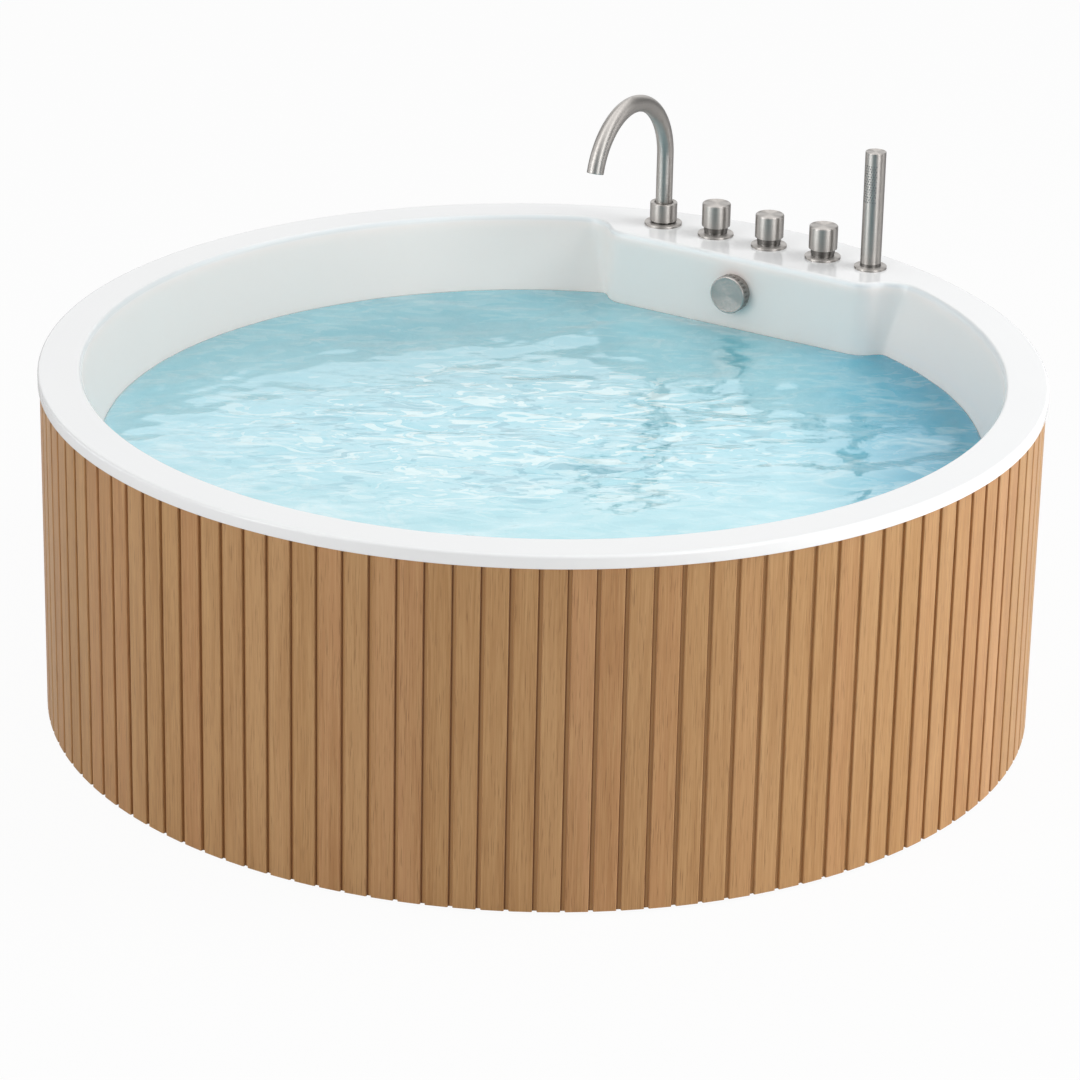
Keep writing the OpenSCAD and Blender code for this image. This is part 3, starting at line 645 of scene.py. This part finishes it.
def even_angles(count):
    """Angles that divide the mouth's outline into nearly equal lengths, and a little finer at the deck."""
    a = np.linspace(0, 2 * np.pi, 20001)
    r = basin_outline(a, MOUTH_R)
    x, y = r * np.cos(a), r * np.sin(a)
    turning = np.abs(np.diff(np.unwrap(np.arctan2(np.gradient(y), np.gradient(x)))))
    walk = np.concatenate([[0], np.cumsum(np.hypot(np.diff(x), np.diff(y)) + turning * 0.06)])
    return np.interp(np.linspace(0, walk[-1], count, endpoint=False), walk, a)


angles = even_angles(COLUMNS)
print("tub columns:", len(angles), "fillet starts at", round(FILLET_X, 4))


# %% Rows of the tub
def ring(radius, z):
    """One row of points: a radius for each angle, at a height."""
    radius = np.broadcast_to(radius, angles.shape)
    return np.stack([radius * np.cos(angles), radius * np.sin(angles), np.broadcast_to(z, angles.shape)], axis=1)


def outward(row):
    """Unit normal of a closed plan curve, pointing away from the middle."""
    along = np.roll(row, -1, axis=0) - np.roll(row, 1, axis=0)
    normal = np.stack([along[:, 1], -along[:, 0], np.zeros(len(row))], axis=1)
    return normal / np.linalg.norm(normal, axis=1, keepdims=True)


def tub_front():
    """Rows from the basin's floor up the wall, over the mouth's round edge and out across the rim."""
    rows = [ring(FILLET_X * t, BASIN_Z) for t in (0.1, 0.3, 0.5, 0.7, 0.85, 0.95)]
    for a in np.linspace(-math.pi / 2, -DRAFT, FILLET_ROWS):
        outline = basin_outline(angles, FILLET_X + FILLET_R * math.cos(a), SOFTEN_LOW)
        rows.append(ring(outline, FILLET_Z + FILLET_R * math.sin(a)))
    low, high = rows[-1][0, 2], RIM_Z - MOUTH_ROUND
    for z in np.linspace(low, high, WALL_ROWS)[1:]:
        rows.append(ring(basin_outline(angles, wall_radius(z)), z))
    edge = rows[-1]
    lean = (np.linalg.norm(rows[-1], axis=1) - np.linalg.norm(rows[-2], axis=1)) / (rows[-1][0, 2] - rows[-2][0, 2])
    away = outward(edge)
    lean = np.arctan(lean)[:, None]
    centre = edge + away * MOUTH_ROUND / np.cos(lean)
    for t in np.linspace(0.0, 1.0, EDGE_ROWS)[1:]:
        a = np.pi - lean + t * (lean - np.pi / 2)
        rows.append(centre + MOUTH_ROUND * (np.cos(a) * away + np.sin(a) * np.array([0, 0, 1.0])))
    inner, outer = rows[-1], ring(RIM_R - RIM_ROUND, RIM_Z)
    for t in ACROSS_RIM:
        rows.append(inner * (1 - t) + outer * t)
    return np.array(rows)


def tub_grid():
    """The closed shell: up the back of the wall, under the rim, round the lip, and down the front."""
    front = tub_front()
    across = np.roll(front, -1, axis=1) - np.roll(front, 1, axis=1)
    up = np.gradient(front, axis=0)
    normal = np.cross(up, across)
    normal /= np.linalg.norm(normal, axis=2, keepdims=True)
    back = (front - SKIN * normal)[:-len(ACROSS_RIM)]
    back[:, :, 2] = np.minimum(back[:, :, 2], RIM_Z - SKIN)
    under = [ring(r, RIM_Z - SKIN) for r in (LIP_R - 0.004, LIP_R)]
    lip = [ring(LIP_R, LIP_Z + 0.001), ring(LIP_R + 0.0006, LIP_Z + 0.0002), ring(LIP_R + 0.0015, LIP_Z)]
    a = np.linspace(-math.pi / 2, 0, 6)
    lip += [ring(RIM_R - 0.002 + 0.002 * math.cos(t), LIP_Z + 0.002 + 0.002 * math.sin(t)) for t in a]
    a = np.linspace(0, math.pi / 2, 8)
    side = [ring(RIM_R - RIM_ROUND * (1 - math.cos(t)), RIM_Z - RIM_ROUND * (1 - math.sin(t))) for t in a]
    return np.concatenate([back, under, lip, side, front[::-1][1:]])


def shell_of(rows, poles):
    """Points and faces of a closed shell: its rows and a pole at each end."""
    count, columns = rows.shape[:2]
    return np.concatenate([rows.reshape(-1, 3), poles]), grid_faces(count, columns) + pole_faces(count, columns)


tub_poles = [[0, 0, BASIN_Z - SKIN], [0, 0, BASIN_Z]]
tub = new_piece("bath_tub", *shell_of(tub_grid(), tub_poles), acrylic, "bath", "acrylic")
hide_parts("tub_shell")
print("tub:", len(tub.data.polygons), "faces")

# %% [markdown]
# ## The water
# Still water would be a flat mirror. Filling a bath leaves ripples a few centimetres long that run mostly away
# from the spout's side. Adding many small waves gives such a surface, and sharpening each wave makes its crests
# narrow. The colour carries painted light: the water is paler towards the front with pale clouds on it, and pale
# and dark flecks are painted reflections of the many tiny mirrors of a lively surface. The flecks die out towards
# the wall. The water is a closed body with the basin's outline, a few centimetres deep.

# %% Water
WATER_Z = 0.420
WATER_DEPTH = 0.03
WATER_GAP = 0.0006
FLOW = math.radians(-58)
WAVES = 34


def ripples(x, y):
    """Height of the water: a sum of waves that run mostly one way, each with its own length and start."""
    chance = np.random.default_rng(11)
    total = np.zeros_like(x)
    bend_x = 0.02 * np.sin(9.0 * y + 1.3) + 0.012 * np.sin(17.0 * x + 4.0)
    bend_y = 0.02 * np.sin(8.0 * x + 0.4) + 0.012 * np.sin(21.0 * y + 2.0)
    for length in np.geomspace(0.034, 0.24, WAVES):
        heading, start = FLOW + chance.normal(0.0, 0.7), chance.uniform(0, 2 * np.pi)
        phase = ((x + bend_x) * math.cos(heading) + (y + bend_y) * math.sin(heading)) * 2 * np.pi / length + start
        total += 0.0042 * length * (np.exp(1.1 * (np.sin(phase) - 1.0)) - 0.4)
    return total


def water_body():
    """Rings from the middle to the wall carry the ripples, and the last rings go down the side."""
    share = np.linspace(0.0, 1.0, 150)[1:] ** 0.85
    rim = basin_outline(angles, wall_radius(WATER_Z)) - WATER_GAP
    radius = share[:, None] * rim[None, :]
    x, y = radius * np.cos(angles), radius * np.sin(angles)
    calm = np.clip((rim[None, :] - radius) / 0.03, 0.0, 1.0) * 0.8 + 0.2
    top = np.stack([x, y, WATER_Z + ripples(x, y) * calm], axis=2)
    low = basin_outline(angles, wall_radius(WATER_Z - WATER_DEPTH)) - WATER_GAP
    side = [ring(rim * (1 - t) + low * t, WATER_Z - WATER_DEPTH * t) for t in (0.25, 0.6, 1.0)]
    under = [ring(low * t, WATER_Z - WATER_DEPTH) for t in (0.7, 0.3)]
    rows = np.concatenate([np.array(under[::-1]), np.array(side[::-1]), top[::-1]])
    poles = [[0, 0, WATER_Z - WATER_DEPTH], [0, 0, WATER_Z + float(ripples(np.zeros(1), np.zeros(1))[0])]]
    return rows, poles


def make_water():
    """Paler towards the front and with pale clouds, both painted light, bluer at the right end, and dark and pale
    flecks on top as painted reflections.
    """
    material, s = new_material("bath_water")
    place, x, y, z = s.object_place()
    toward = x * math.cos(FLOW) + y * math.sin(FLOW)
    aside = y * math.cos(FLOW) - x * math.sin(FLOW)
    drift = s.noise(place, 3.2, 3.0, 0.55, 0.8)
    cloud = s.noise(s.vector(toward * 16.0, aside * 8.0, z), 1.0, 4.0, 0.6, 1.2)
    fleck = s.noise(s.vector(toward * 34.0, aside * 13.0, z), 1.0, 2.0, 0.5, 1.6)
    lively = (toward * toward * 9.0 + (aside + 0.05) * (aside + 0.05) * 4.2).ramp(0.2, 1.2, 1.0, 0.15)
    far = s.mix(drift.ramp(0.35, 0.65), colour(104, 187, 204), colour(124, 202, 217))
    # Painted light: the water pales towards the front
    pale = s.mix(toward.ramp(-0.45, 0.0), far, colour(146, 220, 236))
    front = s.mix(toward.ramp(0.0, 0.5), pale, colour(168, 229, 239))
    right = aside.ramp(0.33, 0.6)
    body = s.mix(right, front, colour(34, 164, 196))
    # Painted light: pale clouds, strongest towards the front
    lit = s.mix(cloud.ramp(0.5, 0.72) * toward.ramp(-0.4, 0.1, 0.1, 0.45), body, colour(226, 250, 252))
    # Painted reflections: dark and then pale flecks where the surface is lively
    dark = s.mix(fleck.ramp(0.38, 0.43, 0.7, 0.0) * lively, lit, colour(84, 178, 200))
    with_painted_glints = s.mix(fleck.ramp(0.57, 0.6, 0.0, 0.75) * lively, dark, colour(226, 252, 254))
    chop = s.noise(s.vector(toward * 34.0, aside * 14.0, z), 1.0, 3.0, 0.5, 0.6)
    fine = s.noise(place, 70.0, 3.0, 0.55, 0.5)
    s.surface(Base_Color=with_painted_glints, Roughness=fine * 0.02 + 0.03, IOR=1.9,
              Coat_Weight=right * -0.6 + 0.6, Coat_IOR=1.8, Coat_Roughness=0.02,
              Normal=s.bump(chop * lively * 0.0045 + fine * 0.0004, 1.0, 1.0))
    return material


water_rows, water_poles = water_body()
water = new_piece("bath_water", *shell_of(water_rows, water_poles), make_water(), "bath")
print("water:", len(water.data.polygons), "faces, ripples of",
      round(float(np.ptp(water_rows[5:, :, 2])) * 1000, 1), "mm")

# %% [markdown]
# ## The taps
# A tap is mostly turned on a lathe, so a half outline turned about an axis describes nearly every piece of
# it. The real pieces have no sharp edge: a small arc at each corner catches the light as a thin bright line.
# The outlines are in millimetres above the deck, and a helper moves them to their place.

# %% Where the taps stand
def on_deck(node):
    """Placing function for outlines whose axis stands on the deck through a node's middle."""
    x, y = axis_of(node)[:2]
    return lambda points: points + np.array([x, y, RIM_Z])


KNOB_R, FOOT_R, NECK_R, SHANK_R = 23.0, 19.4, 18.5, 14.6
KNOB_TOP, SLEEVE_Z, KNOB_Z = 54.0, 16.0, 8.3
FLANGE_T = 4.0


def flange_corners(radius, neck, neck_top):
    """Ring on the deck with a soft edge, and the neck that rises out of it."""
    return [(SHANK_R, 0.0, 0), (radius, 0.0, 0.2), (radius, FLANGE_T - 0.6, 0.9),
            (neck, FLANGE_T, 0.5), (neck, neck_top, 0.3), (SHANK_R, neck_top, 0)]


knob_corners = [(0, KNOB_Z, 0), (FOOT_R, KNOB_Z, 0.5), (FOOT_R, SLEEVE_Z, 0.4), (KNOB_R, SLEEVE_Z, 0.6),
                (KNOB_R, KNOB_TOP, 2.6), (KNOB_R - 4.0, KNOB_TOP, 0.4), (KNOB_R - 4.6, KNOB_TOP - 0.4, 0.4),
                (0, KNOB_TOP - 0.7, 0)]
for tap, body in (("hot", "hot_tap"), ("diverter", "diverter"), ("cold", "cold_tap")):
    place, metal = on_deck(tap + "_flange"), steels[tap]
    flange = turned_piece(tap + "_ring", flange_corners(29.0, NECK_R, FLANGE_T + 4.0), place, metal, "bath",
                          "nickel")
    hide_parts(tap + "_flange")
    knob = turned_piece(tap + "_handle", knob_corners, place, metal, body, "nickel")
    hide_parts(tap + "_knob")
print("knob height over the deck:", KNOB_TOP, "mm")

# %% [markdown]
# ## The spout
# The spout is one tube: straight out of its collar, then a wide bend that ends a little short of straight down.
# Its outline is turned as if the tube were straight, and then the upper part is wrapped round the bend. The
# outline also goes round the tube's lip and a short way back inside, so that the mouth is open.

# %% Spout
TUBE_R, TUBE_INNER, TUBE_STEPS = 13.5, 11.5, 56
COLLAR_R, COLLAR_TOP = 22.0, 37.0
BEND_R, BEND_START, SWEEP = 112.0, 116.0, math.radians(166)
TUBE_FOOT, LIP_DEPTH = 12.3, 16.0
spout_place = on_deck("spout_collar")


def bend_over(points):
    """Wraps what lies above the bend's start round an axis on X, BEND_R in front of the tube."""
    x, y, z = (points[:, i] for i in range(3))
    start, bend = BEND_START / 1000, BEND_R / 1000
    a = np.clip(z - start, 0.0, None) / bend
    wrapped_y = -bend + (bend + y) * np.cos(a)
    wrapped_z = np.minimum(z, start) + (bend + y) * np.sin(a)
    return spout_place(np.stack([x, wrapped_y, wrapped_z], axis=1))


tube_end = BEND_START + BEND_R * SWEEP
stations = [TUBE_FOOT + 60, *np.linspace(BEND_START, tube_end - 2, 60)]
tube_corners = [(0, TUBE_FOOT, 0), (TUBE_R, TUBE_FOOT, 0.5), *[(TUBE_R, z, 0) for z in stations],
                (TUBE_R, tube_end, 0.7), (TUBE_INNER, tube_end, 0.5),
                *[(TUBE_INNER, z, 0) for z in np.linspace(tube_end - 2, tube_end - LIP_DEPTH, 5)],
                (0, tube_end - LIP_DEPTH, 0)]
outline_way = rounded(in_metres(tube_corners))[:, 1]
tube_way = [*np.repeat(outline_way[1:-1], TUBE_STEPS).tolist(), float(outline_way[0]), float(outline_way[-1])]
tube = turned_piece("spout_pipe", tube_corners, bend_over, steels["tube"], "spout", "nickel", TUBE_STEPS)
way = tube.data.attributes.new("along", "FLOAT", "POINT")
way.data.foreach_set("value", tube_way)
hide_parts("spout_tube")
spout_ring = turned_piece("spout_ring", [(SHANK_R, 0, 0), (30.5, 0, 0.2), (30.5, 3.6, 0.9), (SHANK_R, FLANGE_T, 0)],
                          spout_place, steels["spout"], "bath", "nickel")
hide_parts("spout_flange")
collar_corners = [(TUBE_R + 0.3, FLANGE_T, 0), (COLLAR_R - 2, FLANGE_T, 0), (COLLAR_R - 2, 7, 0.4),
                  (COLLAR_R, 7.2, 0.4), (COLLAR_R, COLLAR_TOP, 1.0), (TUBE_R + 2, COLLAR_TOP, 0.5),
                  (TUBE_R + 2, COLLAR_TOP - 3, 0.3), (TUBE_R + 0.3, COLLAR_TOP - 3, 0)]
collar = turned_piece("spout_sleeve", collar_corners, spout_place, steels["spout"], "bath", "nickel")
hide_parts("spout_collar")
print("spout tube:", round(tube_end - TUBE_FOOT), "mm of tube")

# %% [markdown]
# ## The handset
# The handset is a plain stick. Its water comes out of small soft nozzles that poke through its side, in
# staggered rows. Each nozzle is a low dome on the stick's own surface, and its rim sinks a little below it.
# One grid gives all of them at once: the dome's rings are laid out flat, and then wrapped round the stick.

# %% Handset
STICK_R, STICK_Z, STICK_TOP = 16.5, 8.3, 192.0
NOZZLE_ROWS, NOZZLE_PITCH, NOZZLE_TOP = 15, 4.2, 171.0
NOZZLE_R, NOZZLE_OUT = 1.05, 0.9
DOME_RINGS, DOME_SIDES = 4, 10
handset_place = on_deck("handset_flange")
stick_corners = [(0, STICK_Z, 0), (STICK_R, STICK_Z, 0.8), (STICK_R, STICK_TOP, 1.1),
                 (STICK_R - 2.2, STICK_TOP, 0.3), (STICK_R - 2.6, STICK_TOP - 0.3, 0.3), (0, STICK_TOP - 0.6, 0)]
stick = turned_piece("handset_stick", stick_corners, handset_place, steels["handset"], "handset", "nickel")
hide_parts("handset_body")
handset_ring = turned_piece("handset_ring", flange_corners(26.0, 16.6, FLANGE_T + 4.0), handset_place,
                            steels["handset"], "bath", "nickel")
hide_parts("handset_flange")


def nozzles():
    """Domes: a ring's radius falls as the cosine and its height grows as the sine of one angle."""
    rise = np.linspace(-0.35, np.pi / 2, DOME_RINGS + 1)[:-1]
    turn_by = np.arange(DOME_SIDES) * 2 * np.pi / DOME_SIDES
    across = NOZZLE_R * np.cos(rise)[:, None] * np.cos(turn_by)
    along = NOZZLE_R * np.cos(rise)[:, None] * np.sin(turn_by)
    out = np.broadcast_to(NOZZLE_OUT * np.sin(rise)[:, None], across.shape)
    dome = np.stack([across, along, out], axis=2).reshape(-1, 3)
    dome = np.concatenate([dome, [[0, 0, -0.4], [0, 0, NOZZLE_OUT]]])
    dome_faces = grid_faces(DOME_RINGS, DOME_SIDES) + pole_faces(DOME_RINGS, DOME_SIDES)
    points, all_faces = [], []
    for row in range(NOZZLE_ROWS):
        number = 6 - row % 2
        for place in np.linspace(-(number - 1) / 2, (number - 1) / 2, number):
            start = len(points) * len(dome)
            all_faces += [[corner + start for corner in face] for face in dome_faces]
            points.append(dome + [place * NOZZLE_PITCH, NOZZLE_TOP - row * NOZZLE_PITCH, STICK_R])
    flat = np.concatenate(points) / 1000
    a = -np.pi / 2 + flat[:, 0] / (STICK_R / 1000)
    wrapped = np.stack([flat[:, 2] * np.cos(a), flat[:, 2] * np.sin(a), flat[:, 1]], axis=1)
    return handset_place(wrapped), all_faces


silicone = make_plain("silicone", colour(96, 96, 98), colour(120, 120, 121), 0.3)
spray = new_piece("handset_nozzles", *nozzles(), silicone, "handset", "grey_plastic")
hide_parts("spray_face")
print("nozzles:", len(spray.data.polygons) // (DOME_SIDES * (DOME_RINGS + 1)))

# %% [markdown]
# ## The overflow
# The overflow's knob is a thick disc on the deck's wall. Water leaves past its edge, through a row of narrow
# notches behind the face. The disc is turned, and the notches come from moving a third of the points of its
# back rings inwards.

# %% Overflow
OVERFLOW_R, OVERFLOW_OUT, BEZEL_T = 30.5, 23.0, 3.0
NOTCHES, NOTCH_DEPTH = 24, 1.6
NOTCH_STEPS, STEPS_CUT = 6, 2
overflow_x, _, overflow_z = axis_of("overflow_knob")


def on_wall(points):
    """Turns the axis from up to straight out of the wall, towards -Y."""
    x, y, z = (points[:, i] for i in range(3))
    return np.stack([overflow_x + x, DECK_Y - z, overflow_z + y], axis=1)


def overflow_knob():
    corners = [(0, BEZEL_T + 1.5, 0), (OVERFLOW_R - 4, BEZEL_T + 1.5, 0), (OVERFLOW_R, BEZEL_T + 1.5, 0.4),
               (OVERFLOW_R, OVERFLOW_OUT - 6.0, 0), (OVERFLOW_R, OVERFLOW_OUT - 5.6, 0),
               (OVERFLOW_R, OVERFLOW_OUT, 1.4), (OVERFLOW_R - 3.4, OVERFLOW_OUT, 0.3),
               (OVERFLOW_R - 3.8, OVERFLOW_OUT - 0.4, 0.3), (0, OVERFLOW_OUT - 0.6, 0)]
    outline = rounded(in_metres(corners))
    steps = NOTCHES * NOTCH_STEPS
    rows = turned(outline[1:-1], steps)
    cut = np.arange(steps) % NOTCH_STEPS < STEPS_CUT
    on_edge = (rows[:, :1, 2] < (OVERFLOW_OUT - 5.8) / 1000) & (np.linalg.norm(rows[:, :1, :2], axis=2) > 0.029)
    shrink = np.where(on_edge & cut[None, :], 1 - NOTCH_DEPTH / OVERFLOW_R, 1.0)
    rows[:, :, :2] *= shrink[:, :, None]
    return shell_of(rows, [[0, 0, outline[0, 1]], [0, 0, outline[-1, 1]]])


points, faces = overflow_knob()
knob = new_piece("overflow_handle", on_wall(points), faces, overflow_steel, "overflow_control", "nickel")
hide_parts("overflow_knob")
bezel_corners = [(17.0, -0.2, 0), (28.5, -0.2, 0), (28.5, BEZEL_T, 0.8), (17.0, BEZEL_T, 0)]
bezel = turned_piece("overflow_ring", bezel_corners, on_wall, overflow_steel, "bath", "nickel")
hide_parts("overflow_bezel")
print("overflow stands", OVERFLOW_OUT, "mm out of the wall")

# %% [markdown]
# ## Floor and light
# The bath stands on a plain white sweep. The key lamp hangs high on the right. A weaker one in front fills the
# shade, low ones light the skirt and a small one lifts the left of the rim. The camera sees a clean white room.
# Metal and gloss see the same room with a few bright and dim strips, which is what draws bands on a polished
# tap in a studio.

# %% Floor
def make_floor():
    material, s = new_material("floor")
    place = s.object_place()[0]
    grain = s.noise(place, 60.0, 2.0)
    grey = s.mix(grain, colour(216, 216, 216), colour(222, 222, 222))
    plain = s.node("ShaderNodeBsdfPrincipled", {"Base Color": grey, "Roughness": 0.8, "Specular IOR Level": 0.1})
    white = s.node("ShaderNodeEmission", {"Color": (1.0, 1.0, 1.0, 1.0), "Strength": 1.0})
    seen = s.node("ShaderNodeLightPath", out="Is Camera Ray")
    shown = s.node("ShaderNodeMixShader", {0: seen * 0.95, 1: plain, 2: white})
    s.node("ShaderNodeOutputMaterial", {"Surface": shown})
    return material


FLOOR_HALF = 12.0
corners = FLOOR_HALF * np.array([[-1, -1, 0], [1, -1, 0], [1, 1, 0], [-1, 1, 0]])
floor = new_piece("floor", corners, [(0, 1, 2, 3)], make_floor(), None)


# %% Room and lamps
# The room as the metal sees it: turns from straight behind the camera, counted to the right, and brightness
AROUND = [(-180, 0.5), (-140, 0.2), (-112, 2.2), (-84, 1.6), (-66, 6.5), (-50, 3.4), (-34, 0.8), (-10, 0.0),
          (16, 1.2), (36, 6.0), (52, 1.6), (68, 0.0), (90, 2.6), (118, 0.4), (150, 0.2), (180, 0.5)]
BRIGHTEST = 8.0
AMBIENT = 0.5


def make_room():
    """The strips dim above the horizon, so that the water doesn't glare. An even white fills what lies behind
    the bath and overhead."""
    world = bpy.data.worlds.new("room")
    bpy.context.scene.world = world
    s = Shader(world)
    facing = s.node("ShaderNodeTexCoord", out="Generated")
    x, y, z = s.split(facing)
    toward = x * math.cos(CAMERA_SIDE) + y * math.sin(CAMERA_SIDE)
    aside = y * math.cos(CAMERA_SIDE) - x * math.sin(CAMERA_SIDE)
    around = s.math("ARCTAN2", aside, toward)
    bands = s.node("ShaderNodeValToRGB", {"Fac": around / (2 * math.pi) + 0.5},
                   stops=[((a + 180) / 360, (*[b / BRIGHTEST] * 3, 1.0)) for a, b in AROUND])
    bands = bands * z.ramp(0.05, 0.3, 1.14 * BRIGHTEST, 0.64 * BRIGHTEST)
    back = around.abs().ramp(2.4, 2.75) * z.ramp(0.02, 0.16)
    up = z.ramp(0.6, 0.9)
    seen_in_gloss = bands * (1.0 - up) * (1.0 - back) + back * 1.3 * (1.0 - up) + up * 2.2
    seen, glossy, through = (s.node("ShaderNodeLightPath", out=kind)
                             for kind in ("Is Camera Ray", "Is Glossy Ray", "Is Transmission Ray"))
    gloss = glossy.math("MAXIMUM", through)
    strength = seen + (1.0 - seen) * (gloss * seen_in_gloss + (1.0 - gloss) * AMBIENT)
    background = s.node("ShaderNodeBackground", {"Color": (1.0, 1.0, 1.0, 1.0), "Strength": strength})
    s.node("ShaderNodeOutputWorld", {"Surface": background})


# Name, place, aim, width, height and watts
LAMPS = [("key", (3.9, 2.1, 4.6), (0.0, 0.0, 0.3), 3.0, 3.0, 150.0),
         ("side", (3.8, 1.0, 0.3), (0.3, 0.1, 0.25), 2.4, 0.4, 64.0),
         ("fill", (-1.5, -5.0, 2.4), (0.0, 0.0, 0.2), 2.5, 2.5, 66.0),
         ("front", (1.2, -4.3, 0.3), (0.0, -0.3, 0.25), 2.4, 0.4, 3.0),
         ("top", (-2.6, -0.4, 4.2), (0.0, 0.0, 0.4), 2.5, 2.5, 11.0)]


def add_lamp(name, place, aim, width, height, watts):
    data = bpy.data.lights.new(name, "AREA")
    data.shape, data.size, data.size_y, data.energy = "RECTANGLE", width, height, watts
    lamp = bpy.data.objects.new(name, data)
    bpy.context.scene.collection.objects.link(lamp)
    lamp.visible_glossy = False
    lamp.location = place
    away = np.array(place, float) - np.array(aim, float)
    lamp.rotation_mode = "QUATERNION"
    lamp.rotation_quaternion = Vector(away.tolist()).to_track_quat("Z", "Y")


make_room()
for lamp in LAMPS:
    add_lamp(*lamp)
bpy.context.scene.view_settings.view_transform = "Standard"
